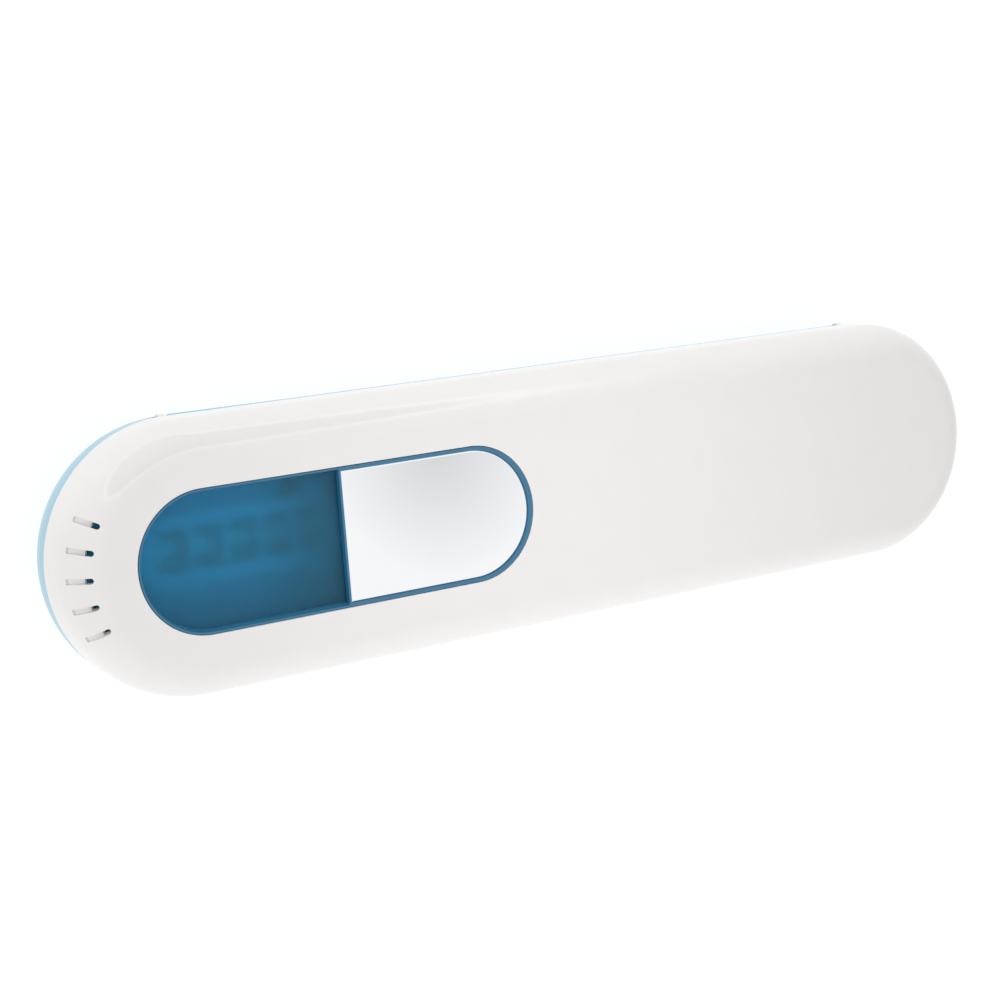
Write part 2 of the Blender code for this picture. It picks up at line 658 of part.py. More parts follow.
def build_base(case, paint):
    additions = bmesh.new()
    barrel_half = EAR_CENTRE - NOTCH_HALF - PART_GAP
    peg(additions, BARREL_RADIUS, (HINGE_Y, HINGE_Z), -barrel_half, barrel_half, "X")
    for place in TRAY_BOSSES:
        boss(additions, BOSS_RADIUS, place, DECK_BOTTOM - BOND_GAP)
    for place in BOARD_POSTS:
        boss(additions, BOARD_POST_RADIUS, place, BOARD_BOTTOM - BOND_GAP)

    nose = bmesh.new()
    reach = STRAIGHT + END_RADIUS / 3
    prism(nose, nose_outline(), -reach, reach, "X")
    notches = bmesh.new()
    holes = bmesh.new()
    low = HINGE_Z - BARREL_RADIUS - NOTCH_DEPTH
    for side in (-1, 1):
        prism(notches, notch_outline(side * EAR_CENTRE), low, BASE_HEIGHT + WALL)
        inner = side * (EAR_CENTRE + EAR_WIDTH / 2 - PIN_LENGTH - PART_GAP)
        outer = side * EAR_CENTRE
        peg(holes, PIN_HOLE, (HINGE_Y, HINGE_Z), inner, outer, "X", SMALL_SIDES)
    drill = SCREW_RADIUS + SCREW_CLEARANCE
    for place in TRAY_BOSSES:
        peg(holes, drill, place, DECK_TOP - TRAY_SCREW_LENGTH - PART_GAP, DECK_TOP, "Z", SMALL_SIDES)
    for place in BOARD_POSTS:
        peg(holes, drill, place, BOARD_TOP - BOARD_SCREW_LENGTH - PART_GAP, BOARD_TOP, "Z", SMALL_SIDES)
    block(holes, (BAY_START, OPENING_END), span(0.0, BAY_WIDTH), (-WALL, 2 * WALL))
    scoop_y = -CASE_WIDTH / 2 + SCOOP_DEPTH - SCOOP_RADIUS
    peg(holes, SCOOP_RADIUS, (0.0, scoop_y), BASE_HEIGHT - SCOOP_HEIGHT, BASE_HEIGHT + WALL, "Z", SCOOP_SIDES)
    rings = shell_rings(0.0, BASE_HEIGHT, BACK_FILLET, WALL)
    part("rear_shell", body((loft, rings)), paint["blue_abs"], case, [additions], [nose, notches, holes])

    for word, side in (("left", -1), ("right", 1)):
        outer = side * (EAR_CENTRE + EAR_WIDTH / 2)
        pin = body((peg, PIN_RADIUS, (HINGE_Y, HINGE_Z), outer - side * PIN_LENGTH, outer, "X", SMALL_SIDES))
        part(f"hinge_pin_{word}", pin, paint["steel"], case)


# Inner tray, guard and screws


def saddle_outline(width, notch):
    """An upright rib across the case with a round notch for the brush."""
    top = DECK_TOP + SADDLE_HEIGHT
    outline = [(-width / 2, DECK_TOP - DECK_THICKNESS / 2), (width / 2, DECK_TOP - DECK_THICKNESS / 2)]
    outline.append((width / 2 - SADDLE_THICKNESS / 2, top))
    for step in range(SMALL_SIDES + 1):
        angle = -math.pi * step / SMALL_SIDES
        outline.append((notch * math.cos(angle), top + notch * math.sin(angle)))
    outline.append((SADDLE_THICKNESS / 2 - width / 2, top))
    return outline


def build_tray(case, paint):
    outer = WALL + TRAY_GAP
    inner = outer + LIP_THICKNESS
    section = [(outer, DECK_BOTTOM), (outer, LIP_TOP), (inner, LIP_TOP), (inner, DECK_TOP)]
    rings = [case_ring(inset, z) for inset, z in section]

    additions = bmesh.new()
    size = (WELL_LENGTH + 2 * WELL_WALL, WELL_WIDTH + 2 * WELL_WALL)
    levels = (WELL_BOTTOM, DECK_TOP - DECK_THICKNESS / 2)
    loft(additions, [stadium(size[0], size[1], z, WELL_CENTRE) for z in levels])
    neck = span(WELL_END + SADDLE_OFFSET, SADDLE_THICKNESS)
    prism(additions, saddle_outline(NECK_WIDTH, NECK_NOTCH), neck[0], neck[1], "X")
    grip = span((BAY_START + BAY_END) / 2, SADDLE_THICKNESS)
    prism(additions, saddle_outline(GRIP_WIDTH, GRIP_NOTCH), grip[0], grip[1], "X")
    bump_y = -CASE_WIDTH / 2 + outer + DETENT_RADIUS - DETENT_HEIGHT
    reach = span(0.0, DETENT_LENGTH)
    peg(additions, DETENT_RADIUS, (bump_y, LID_EDGE + DETENT_RISE), reach[0], reach[1], "X", SMALL_SIDES)

    holes = bmesh.new()
    cavity = [
        stadium(WELL_LENGTH - 2 * WELL_DRAFT, WELL_WIDTH - 2 * WELL_DRAFT, WELL_TOP, WELL_CENTRE),
        stadium(WELL_LENGTH, WELL_WIDTH, DECK_TOP, WELL_CENTRE),
        stadium(WELL_LENGTH, WELL_WIDTH, DECK_TOP + WALL, WELL_CENTRE),
    ]
    loft(holes, cavity)
    slot = (TUBE_LENGTH + LAMP_SLOT_EXTRA, LAMP_SLOT_WIDTH)
    lamp = bmesh.new()
    loft(lamp, [stadium(slot[0], slot[1], z, LAMP_CENTRE) for z in (WELL_BOTTOM - WALL, WELL_TOP + WALL)])
    ear_end = LAMP_CENTRE + slot[0] / 2 + GUARD_LIP - GUARD_EAR_END
    ear_start = ear_end - GUARD_EAR_LENGTH
    lift_x = (ear_start - PART_GAP - LIFT_HOLE_LENGTH, ear_start - PART_GAP)
    lift_y = span(LAMP_SLOT_WIDTH / 2 + GUARD_LIP + LIFT_HOLE_WIDTH / 2, LIFT_HOLE_WIDTH)
    block(lamp, lift_x, lift_y, (WELL_BOTTOM - WALL, WELL_TOP + WALL))
    for place in TRAY_BOSSES:
        peg(holes, SCREW_RADIUS + PART_GAP, place, DECK_BOTTOM - WALL, DECK_TOP + WALL, "Z", SMALL_SIDES)
    guide = PLUNGER_RADIUS + PART_GAP
    peg(holes, guide, (SWITCH_X, SWITCH_Y), DECK_BOTTOM - WALL, DECK_TOP + WALL, "Z", SMALL_SIDES)
    part("inner_tray", body((loft, rings)), paint["tray_abs"], case, [additions], [holes, lamp])

    for number, place in enumerate(TRAY_BOSSES, 1):
        screw(f"tray_screw_{number}", place, DECK_TOP, TRAY_SCREW_LENGTH, case, paint)

    lip_low = WELL_TOP + BOND_GAP
    lip_high = lip_low + GUARD_LIP_THICKNESS
    drop = 2 * PART_GAP
    lip = (slot[0] + 2 * GUARD_LIP, slot[1] + 2 * GUARD_LIP)
    plug = (slot[0] - drop, slot[1] - drop)
    levels = [(plug, WELL_BOTTOM + BOND_GAP), (plug, lip_low), (lip, lip_low), (lip, lip_high)]
    frame = [stadium(size[0], size[1], z, LAMP_CENTRE) for size, z in levels]
    ears = body((block, (ear_start, ear_end), span(0.0, GUARD_EAR_SPREAD), (lip_low, lip_high)))
    openings = bmesh.new()
    clear = plug[0] - 2 * GUARD_RAIL - LAMP_SLOT_WIDTH / 2
    pitch = (clear + GUARD_BAR_WIDTH) / (GUARD_BARS + 1)
    for number in range(GUARD_BARS + 1):
        middle = LAMP_CENTRE + pitch * (number - GUARD_BARS / 2)
        x = span(middle, pitch - GUARD_BAR_WIDTH)
        block(openings, x, span(0.0, plug[1] - 2 * GUARD_RAIL), (WELL_BOTTOM - WALL, lip_high + WALL))
    part("lamp_guard", body((loft, frame)), paint["guard_abs"], case, [ears], [openings])


def screw(name, place, seat, length, case, paint):
    """A pan-head screw whose head sits just above its seat."""
    under = seat + BOND_GAP
    profile = [
        (SCREW_RADIUS / 2, seat - length),
        (SCREW_RADIUS, seat - length + SCREW_RADIUS),
        (SCREW_RADIUS, under),
        (SCREW_HEAD_RADIUS, under),
        (SCREW_HEAD_RADIUS, under + SCREW_HEAD_HEIGHT / 2),
        (SCREW_HEAD_RADIUS / 2, under + SCREW_HEAD_HEIGHT),
    ]
    part(name, body((turned, profile, place, "Z", SMALL_SIDES)), paint["steel"], case)


# Lamp


def cap_centre(side):
    return LAMP_CENTRE + side * (TUBE_LENGTH / 2 + BOND_GAP + CAP_LENGTH / 2)


def build_lamp(case, paint):
    rise = TUBE_RADIUS / 2
    start, end = span(LAMP_CENTRE, TUBE_LENGTH)
    profile = [(rise, start), (TUBE_RADIUS, start + rise), (TUBE_RADIUS, end - rise), (rise, end)]
    part("uv_tube", body((turned, profile, (0.0, TUBE_Z), "X")), paint["quartz"], case)
    for word, side in (("left", -1), ("right", 1)):
        middle = cap_centre(side)
        near = middle - side * CAP_LENGTH / 2
        far = middle + side * CAP_LENGTH / 2
        tip = far + side * CONTACT_PIN_LENGTH
        profile = [(CAP_RADIUS, near), (CAP_RADIUS, far), (CONTACT_PIN_RADIUS, far), (CONTACT_PIN_RADIUS, tip)]
        part(f"lamp_cap_{word}", body((turned, profile, (0.0, TUBE_Z), "X")), paint["nickel"], case)
        grip = CAP_RADIUS + PART_GAP / 2
        x = span(middle, HOLDER_LENGTH)
        high = WELL_BOTTOM - PART_GAP
        seat = body((block, x, span(0.0, HOLDER_WIDTH), (WALL + BOND_GAP, high)))
        through = span(middle, 2 * HOLDER_LENGTH)
        bore = body((peg, grip, (0.0, TUBE_Z), through[0], through[1], "X"))
        mouth = body((block, through, span(0.0, 1.7 * grip), (TUBE_Z, high + WALL)))
        part(f"lamp_holder_{word}", seat, paint["silicone"], case, (), [bore, mouth])

    low = WALL + PART_GAP
    floor = REFLECTOR_FLOOR / 2
    edge = REFLECTOR_WIDTH / 2
    slant = math.hypot(edge - floor, REFLECTOR_RISE)
    lift = REFLECTOR_THICKNESS * slant / (edge - floor)
    bend = floor - REFLECTOR_THICKNESS * (slant - (edge - floor)) / REFLECTOR_RISE
    outline = [(-edge, low + REFLECTOR_RISE), (-floor, low), (floor, low), (edge, low + REFLECTOR_RISE)]
    outline += [(edge, low + REFLECTOR_RISE + lift), (bend, low + REFLECTOR_THICKNESS)]
    outline += [(-bend, low + REFLECTOR_THICKNESS), (-edge, low + REFLECTOR_RISE + lift)]
    reach = cap_centre(1) - LAMP_CENTRE - HOLDER_LENGTH / 2 - REFLECTOR_END_GAP
    trough = body((prism, outline, LAMP_CENTRE - reach, LAMP_CENTRE + reach, "X"))
    part("lamp_reflector", trough, paint["aluminium"], case)


# Circuit board and lid switch


def build_board(case, guide, paint):
    board = body((block, (BOARD_START, BOARD_END), span(0.0, BOARD_WIDTH), (BOARD_BOTTOM, BOARD_TOP)))
    holes = bmesh.new()
    for place in BOARD_POSTS:
        peg(holes, SCREW_RADIUS + PART_GAP, place, BOARD_BOTTOM - WALL, BOARD_TOP + WALL, "Z", SMALL_SIDES)
    part("circuit_board", board, paint["fibreglass"], case, (), [holes])
    for number, place in enumerate(BOARD_POSTS, 1):
        screw(f"board_screw_{number}", place, BOARD_TOP, BOARD_SCREW_LENGTH, case, paint)

    core = body((block, span(BOARD_CENTRE, CORE_LENGTH), span(CORE_Y, CORE_WIDTH), (SEAT, SEAT + CORE_HEIGHT)))
    windows = bmesh.new()
    for side in (-1, 1):
        y = span(CORE_Y + side * (CORE_WIDTH / 2), 2 * BOBBIN_INSET)
        x = span(BOARD_CENTRE, CORE_LENGTH - 2 * CORE_LEG)
        block(windows, x, y, (SEAT + CORE_LEG / 2, SEAT + 2 * CORE_HEIGHT))
    part("inverter_transformer", core, paint["ferrite"], case, (), [windows])

    start = BOARD_CENTRE - CAN_LENGTH / 2
    profile = [
        (CAN_RADIUS, start),
        (CAN_RADIUS, start + CAN_LENGTH / 6),
        (CAN_RADIUS - CAN_GROOVE, start + CAN_LENGTH / 5),
        (CAN_RADIUS, start + CAN_LENGTH / 4),
        (CAN_RADIUS, start + CAN_LENGTH),
    ]
    can = body((turned, profile, (CAN_Y, SEAT + CAN_RADIUS), "X"))
    part("filter_capacitor", can, paint["can_sleeve"], case)

    chip = body((block, span(BOARD_CENTRE, CHIP_LENGTH), span(CHIP_Y, CHIP_WIDTH), (SEAT, SEAT + CHIP_HEIGHT)))
    part("timer_chip", chip, paint["epoxy"], case)

    x = span(SWITCH_X, SWITCH_LENGTH)
    housing = body((block, x, span(SWITCH_Y, SWITCH_WIDTH), (SEAT, SWITCH_TOP)))
    low = SWITCH_TOP - PLUNGER_DEPTH
    well = body((peg, PLUNGER_RADIUS + PART_GAP, (SWITCH_X, SWITCH_Y), low - PART_GAP, SWITCH_TOP + WALL))
    part("lid_switch", housing, paint["epoxy"], case, (), [well])
    dome = PLUNGER_TOP - PLUNGER_RADIUS / 3
    profile = [(PLUNGER_RADIUS, low), (PLUNGER_RADIUS, dome), (PLUNGER_RADIUS / 2, PLUNGER_TOP)]
    stem = body((turned, profile, (SWITCH_X, SWITCH_Y)))
    part("switch_plunger", stem, paint["white_acetal"], guide)


# Battery bay


def build_cells(case, paint):
    outside = ((BAY_START - BAY_WALL, BAY_END + BAY_WALL), span(0.0, BAY_WIDTH + 2 * BAY_WALL))
    levels = (WALL + BOND_GAP, DECK_BOTTOM - PART_GAP)
    frame = body((block, *outside, levels))
    hollow = body((block, (BAY_START, BAY_END), span(0.0, BAY_WIDTH), (0.0, DECK_TOP)))
    tail_z = CELL_Z + TAIL_RISE
    slots = bmesh.new()
    for side in (-1, 1):
        y = span(side * CELL_Y, TAIL_WIDTH + 2 * PART_GAP)
        x = (BAY_START - 2 * BAY_WALL, BAY_START + BAY_WALL)
        block(slots, x, y, span(tail_z, TAIL_THICKNESS + 2 * PART_GAP))
    part("battery_cradle", frame, paint["tray_abs"], case, (), [hollow, slots])

    plate_z = (CELL_Z - CONTACT_LOW, CELL_Z + CONTACT_HIGH)
    seat = BAY_START + PART_GAP
    for word, side in (("positive", 1), ("negative", -1)):
        y = side * CELL_Y
        plate = body((block, (seat, seat + CONTACT_THICKNESS), span(y, CONTACT_WIDTH), plate_z))
        tail_x = (BAY_START - BAY_WALL - TAIL_REACH, seat + CONTACT_THICKNESS / 2)
        tail = body((block, tail_x, span(y, TAIL_WIDTH), span(tail_z, TAIL_THICKNESS)))
        part(f"{word}_contact", plate, paint["nickel"], case, [tail])
    bridge_x = (BAY_END - PART_GAP - CONTACT_THICKNESS, BAY_END - PART_GAP)
    bridge = body((block, bridge_x, span(0.0, 2 * CELL_Y + CONTACT_WIDTH), plate_z))
    part("bridge_contact", bridge, paint["nickel"], case)

    for number, side in ((1, 1), (2, -1)):
        tip = seat + CONTACT_THICKNESS + PART_GAP if side > 0 else bridge_x[0] - PART_GAP
        end = tip + side * CELL_LENGTH
        neck = tip + side * CELL_BUTTON_LENGTH
        edge = CELL_RADIUS / 10
        profile = [
            (CELL_BUTTON_RADIUS, tip),
            (CELL_BUTTON_RADIUS, neck),
            (CELL_RADIUS - edge, neck),
            (CELL_RADIUS, neck + side * edge),
            (CELL_RADIUS, end - side * edge),
            (CELL_RADIUS - edge, end),
        ]
        cell = body((turned, profile, (side * CELL_Y, CELL_Z), "X"))
        part(f"battery_{number}", cell, paint["cell_sleeve"], case)
        plate = bridge_x[0] if side > 0 else seat + CONTACT_THICKNESS
        first = plate - side * (PART_GAP / 2 + SPRING_WIRE)
        last = end + side * (PART_GAP / 2 + SPRING_WIRE)
        coil = []
        for step in range(SPRING_TURNS * COIL_STEPS + 1):
            t = step / (SPRING_TURNS * COIL_STEPS)
            angle = 2 * math.pi * SPRING_TURNS * t
            radius = SPRING_WIDE + (SPRING_NARROW - SPRING_WIDE) * t
            x = first + (last - first) * t
            y = side * CELL_Y + radius * math.cos(angle)
            coil.append(Vector((x, y, CELL_Z + radius * math.sin(angle))))
        wire(f"battery_spring_{number}", coil, SPRING_WIRE, paint["steel"], case, 1)


def build_door(door, paint):
    width = BAY_WIDTH - 2 * PART_GAP
    plate = body((block, (DOOR_START, DOOR_END), span(0.0, width), (DOOR_SET_BACK, DOOR_TOP)))
    additions = bmesh.new()
    tongue = (WALL + PART_GAP, WALL + PART_GAP + TAB_THICKNESS)
    for side in (-1, 1):
        root = (DOOR_END - TAB_ROOT, DOOR_END + OPENING_END - DOOR_END + TAB_REACH)
        across = span(side * TAB_OFFSET, TAB_WIDTH)
        web = DOOR_END - PART_GAP / 2
        mid = DOOR_TOP - DOOR_THICKNESS / 3
        outline = [(root[0], mid), (web, mid), (web, tongue[0]), (root[1], tongue[0])]
        outline += [(root[1], tongue[1]), (root[0], tongue[1])]
        prism(additions, outline, across[0], across[1], "Y")
    latch_x = (DOOR_START + PART_GAP / 2, DOOR_START + LATCH_LENGTH)
    latch_z = (DOOR_TOP - DOOR_THICKNESS / 3, DOOR_TOP + LATCH_RISE)
    block(additions, latch_x, span(0.0, LATCH_WIDTH), latch_z)
    grooves = bmesh.new()
    for number in range(GRIP_COUNT):
        x = DOOR_START + GRIP_START + number * GRIP_PITCH
        length = LATCH_WIDTH / 2
        peg(grooves, GRIP_GROOVE, (x, DOOR_SET_BACK), -length, length, "Y", SMALL_SIDES)
    part("battery_door", plate, paint["blue_abs_door"], door, [additions], [grooves])


def build_leads(case, paint):
    pad_z = SEAT + LEAD_RADIUS + PART_GAP / 2
    tail_z = CELL_Z + TAIL_RISE
    for word, side, colour in (("positive", 1, "red_lead"), ("negative", -1, "black_lead")):
        tail = BAY_START - BAY_WALL - TAIL_REACH - PART_GAP
        y = side * CELL_Y
        pad = BOARD_END - LEAD_PAD_INSET
        corners = [
            Vector((tail, y, tail_z)),
            Vector((tail - TAIL_REACH, y, tail_z - LEAD_RADIUS)),
            Vector((BOARD_END - LEAD_RADIUS, y, pad_z + 2 * LEAD_RADIUS)),
            Vector((pad, y, pad_z)),
        ]
        wire(f"battery_lead_{word}", smooth_route(corners), LEAD_RADIUS, paint[colour], case, 1)

    tip = cap_centre(1) + CAP_LENGTH / 2 + CONTACT_PIN_LENGTH + PART_GAP
    pad_y = -BOARD_WIDTH / 4
    corners = [
        Vector((tip, 0.0, TUBE_Z)),
        Vector((tip + LEAD_BEND, pad_y / 8, TUBE_Z)),
        Vector((BOARD_START - LEAD_BEND, pad_y, pad_z + LEAD_RADIUS)),
        Vector((BOARD_START + LEAD_PAD_INSET, pad_y, pad_z)),
    ]
    wire("lamp_lead_right", smooth_route(corners), LEAD_RADIUS, paint["white_lead"], case, 1)

    tip = cap_centre(-1) - CAP_LENGTH / 2 - CONTACT_PIN_LENGTH - PART_GAP
    low = WALL + LEAD_RADIUS + PART_GAP
    pad_y = BOARD_WIDTH / 2 - BOARD_POST_INSET
    corners = [
        Vector((tip, 0.0, TUBE_Z)),
        Vector((tip - LEAD_BEND, LEAD_BEND / 4, TUBE_Z)),
        Vector((tip - 1.5 * LEAD_BEND, 2 * LEAD_BEND, TUBE_Z - LEAD_RADIUS)),
        Vector((tip - LEAD_BEND / 2, 4 * LEAD_BEND, low + 2 * LEAD_RADIUS)),
        Vector((tip + 3 * LEAD_BEND, LEAD_SIDE - LEAD_BEND / 2, low + LEAD_RADIUS)),
        Vector((tip + 8 * LEAD_BEND, LEAD_SIDE, low)),
        Vector((WELL_CENTRE, LEAD_SIDE, low)),
        Vector((WELL_END - 4 * LEAD_BEND, LEAD_SIDE, low)),
        Vector((BOARD_START - LEAD_BEND, pad_y, pad_z)),
        Vector((BOARD_START + LEAD_PAD_INSET, pad_y, pad_z)),
    ]
    wire("lamp_lead_left", smooth_route(corners), LEAD_RADIUS, paint["white_lead"], case, 1)


def main():
    for obj in list(bpy.data.objects):
        bpy.data.objects.remove(obj)
    paint = {
        "white_abs": shade("white_abs", "#E9E8E5", 0.22),
        "tinted_window": shade("tinted_window", "#266B96", 0.12, transmission=0.8),
        "mirror_glass": shade("mirror_glass", "#EDEEF1", 0.03, metallic=1.0),
        "foam_tape": shade("foam_tape", "#D8D8D4", 0.9),
        "blue_abs": shade("blue_abs", "#ACD1E1", 0.25),
        "blue_abs_door": shade("blue_abs_door", "#ACD1E1", 0.3),
        "tray_abs": shade("tray_abs", "#B9D6E2", 0.35),
        "guard_abs": shade("guard_abs", "#DDE6EA", 0.35),
        "steel": shade("steel", "#B4B6B8", 0.3, metallic=1.0),
        "nickel": shade("nickel", "#C9C6BE", 0.25, metallic=1.0),
        "aluminium": shade("aluminium", "#D9DBDD", 0.2, metallic=1.0),
        "quartz": shade("quartz", "#EAF2F6", 0.05, transmission=0.6),
        "silicone": shade("silicone", "#E6E6E2", 0.6),
        "fibreglass": shade("fibreglass", "#2F6B43", 0.45),
        "ferrite": shade("ferrite", "#3A3A3C", 0.6),
        "can_sleeve": shade("can_sleeve", "#22252B", 0.35),
        "epoxy": shade("epoxy", "#1E1F21", 0.5),
        "white_acetal": shade("white_acetal", "#EDEDEA", 0.35),
        "cell_sleeve": shade("cell_sleeve", "#4A4E55", 0.3),
        "red_lead": shade("red_lead", "#A83230", 0.45),
        "black_lead": shade("black_lead", "#202124", 0.45),
        "white_lead": shade("white_lead", "#E4E4E0", 0.45),
    }
    case = pivot("case", Vector((0.0, 0.0, 0.0)))
    lid = pivot("lid_pivot", Vector((0.0, HINGE_Y, HINGE_Z)), case)
    door = pivot("door_pivot", DOOR_PIVOT, case)
    guide = pivot("plunger_guide", Vector((SWITCH_X, SWITCH_Y, SWITCH_TOP)), case)
    build_lid(lid, paint)
    build_window(lid, paint)
    build_base(case, paint)
    build_tray(case, paint)
    build_lamp(case, paint)
    build_board(case, guide, paint)
    build_cells(case, paint)
    build_door(door, paint)
    build_leads(case, paint)


main()
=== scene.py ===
# %% [markdown]
# # A travel case that cleans a toothbrush
#
# The object is a slim case with round ends. A white lid closes on a pale blue base, and a blue window in
# the lid shows the brush head over a small ultraviolet lamp. Half of the window carries a mirror.
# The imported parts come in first, because every later piece takes its place and its motion from them.

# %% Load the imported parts
import json
import math

import bmesh
import bpy
from mathutils import Matrix, Vector

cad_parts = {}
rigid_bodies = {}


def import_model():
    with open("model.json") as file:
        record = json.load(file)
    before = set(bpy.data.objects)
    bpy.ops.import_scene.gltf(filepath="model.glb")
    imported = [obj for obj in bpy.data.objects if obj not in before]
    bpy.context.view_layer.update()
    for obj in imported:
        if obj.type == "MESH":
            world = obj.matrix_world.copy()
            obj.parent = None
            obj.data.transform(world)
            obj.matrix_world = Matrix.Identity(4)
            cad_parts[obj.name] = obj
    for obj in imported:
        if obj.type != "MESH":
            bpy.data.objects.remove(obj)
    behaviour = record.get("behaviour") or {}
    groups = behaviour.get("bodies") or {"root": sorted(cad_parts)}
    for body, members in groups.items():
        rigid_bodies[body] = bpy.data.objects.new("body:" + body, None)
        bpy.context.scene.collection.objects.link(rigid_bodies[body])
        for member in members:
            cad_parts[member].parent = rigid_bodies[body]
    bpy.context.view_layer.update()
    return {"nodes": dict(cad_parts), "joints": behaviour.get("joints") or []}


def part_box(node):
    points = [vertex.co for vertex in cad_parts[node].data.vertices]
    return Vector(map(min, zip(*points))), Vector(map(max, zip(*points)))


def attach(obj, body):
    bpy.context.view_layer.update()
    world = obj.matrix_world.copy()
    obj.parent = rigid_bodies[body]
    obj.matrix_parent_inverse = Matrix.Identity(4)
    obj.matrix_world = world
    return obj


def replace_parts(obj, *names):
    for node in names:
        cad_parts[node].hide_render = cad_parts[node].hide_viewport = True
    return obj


for leftover in list(bpy.data.objects):
    bpy.data.objects.remove(leftover)
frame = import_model()
nodes = frame["nodes"]
MM = 0.001

# %% [markdown]
# ## Sizes
#
# The frame gives the outside of each part, so the overall sizes are read from it. A wall, a radius or a slot
# can't be read from a box, so those are written here once, in millimetres, as a moulder would list them.

# %% Sizes of the case
lid_low, lid_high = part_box("front_shell")
base_low, base_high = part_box("rear_shell")
LENGTH = lid_high.x - lid_low.x
WIDTH = -2 * lid_low.y
FRONT = lid_high.z
RIM = base_high.z
PART_GAP = 0.3 * MM
BOND_GAP = 0.1 * MM
LID_EDGE = RIM + PART_GAP
WALL = 2.0 * MM
SHOULDER = 8.0 * MM
BACK_FILLET = 11.7 * MM
EDGE_ROUND = 0.35 * MM
END_RADIUS = WIDTH / 2
STRAIGHT = LENGTH / 2 - END_RADIUS
print("case", round(LENGTH / MM, 1), "x", round(WIDTH / MM, 1), "x", round(FRONT / MM, 1), "mm")

# %% Sizes of the window, the hinge and the vents
flange_low, flange_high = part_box("window_insert")
mirror_low, mirror_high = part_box("mirror")
FLANGE_WIDTH = 3.0 * MM
FLANGE_THICKNESS = 1.3 * MM
INSERT_LENGTH = flange_high.x - flange_low.x - 2 * FLANGE_WIDTH
INSERT_WIDTH = flange_high.y - flange_low.y - 2 * FLANGE_WIDTH
INSERT_TOP = flange_high.z
WINDOW_CENTRE = (flange_low.x + flange_high.x) / 2
WINDOW_LENGTH = INSERT_LENGTH + 2 * PART_GAP
WINDOW_WIDTH = INSERT_WIDTH + 2 * PART_GAP
hinge = next(joint for joint in frame["joints"] if joint["name"] == "lid_hinge")
HINGE_Y, HINGE_Z = hinge["pos_m"][1:]
pin_low, pin_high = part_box("hinge_pin_right")
EAR_WIDTH = 1.4 * MM
EAR_CENTRE = pin_high.x - EAR_WIDTH / 2
BARREL_RADIUS = 1.15 * MM
NOSE_RADIUS = 1.3 * MM
PIN_HOLE = 0.62 * MM
VENT_COUNT = 5
VENT_STEP = math.radians(13.0)
VENT_WIDTH = 1.1 * MM
VENT_INSET = 4.9 * MM
VENT_END_INSET = 0.85 * MM
VENT_HOLE = 1.65 * MM
VENT_DROP = 3.0 * MM
# The wall between hole and groove leans a little, and the hole's round end stops short of a point.
VENT_WALL_TURN = math.radians(1.0)
VENT_ROUND_TURN = math.radians(80.0)
GROOVE_DEEP = 1.0 * MM
GROOVE_SHALLOW = 0.45 * MM
GROOVE_STEPS = 8
print("window", round(WINDOW_LENGTH / MM, 1), "x", round(WINDOW_WIDTH / MM, 1), "mm")

# %% [markdown]
# ## Outlines and bodies
#
# Nearly every form here is a stadium, which is two half circles joined by straight sides. A ring of points
# makes one, and skinning a stack of rings makes a wall with any section. This gives full control of the
# radius at each edge, which a Boolean leaves sharp. The end circles get 60 steps, so that none of their grid
# lines runs along the wall of a vent slot.

# %% Outlines
END_STEPS = 60
ROUND_STEPS = 14
EDGE_STEPS = 4


def stadium(length, width, z, centre=0.0):
    """Two half circles joined by straight sides, anticlockwise from above."""
    radius = width / 2
    reach = length / 2 - radius
    ring = []
    for side, start in ((1, -math.pi / 2), (-1, math.pi / 2)):
        for step in range(END_STEPS + 1):
            angle = start + math.pi * step / END_STEPS
            x = centre + side * reach + radius * math.cos(angle)
            ring.append(Vector((x, radius * math.sin(angle), z)))
    return ring


def half_stadium(flat, tip, width, z, middle=0.0):
    """A straight side across x = flat and a half circle that ends at x = tip."""
    radius = width / 2
    side = 1 if tip > flat else -1
    ring = [Vector((flat, middle + side * radius, z)), Vector((flat, middle - side * radius, z))]
    for step in range(END_STEPS + 1):
        angle = math.pi * (step / END_STEPS - 0.5)
        x = tip - side * radius + side * radius * math.cos(angle)
        ring.append(Vector((x, middle + side * radius * math.sin(angle), z)))
    return ring


def quarter(steps):
    """Angles from 0 to a right angle."""
    return [math.pi / 2 * step / steps for step in range(steps + 1)]


def case_ring(inset, z):
    return stadium(LENGTH - 2 * inset, WIDTH - 2 * inset, z)


print("an outline of the case has", len(case_ring(0.0, 0.0)), "points")

# %% Bodies
ROUND_SIDES = 32


def skin(mesh, rings):
    """Faces between neighbouring rings of equal count. Returns the rings as vertices."""
    loops = [[mesh.verts.new(point) for point in ring] for ring in rings]
    for low, high in zip(loops, loops[1:]):
        for k in range(len(low)):
            after = (k + 1) % len(low)
            mesh.faces.new((low[k], low[after], high[after], high[k]))
    return loops


def loft(mesh, rings):
    """A closed body through rings, with a flat cap at each end."""
    loops = skin(mesh, rings)
    mesh.faces.new(list(reversed(loops[0])))
    mesh.faces.new(loops[-1])


def lay(u, v, level, axis):
    """A point of a flat outline, placed across the X, Y or Z axis."""
    return Vector({"X": (level, u, v), "Y": (u, level, v), "Z": (u, v, level)}[axis])


def prism(mesh, outline, start, end, axis="Z"):
    loft(mesh, [[lay(u, v, level, axis) for u, v in outline] for level in (start, end)])


def turned(mesh, profile, centre, axis="Z", sides=ROUND_SIDES):
    """A body of revolution through (radius, level) pairs."""
    turns = [2 * math.pi * step / sides for step in range(sides)]
    rings = []
    for radius, level in profile:
        places = [(centre[0] + radius * math.cos(a), centre[1] + radius * math.sin(a)) for a in turns]
        rings.append([lay(u, v, level, axis) for u, v in places])
    loft(mesh, rings)


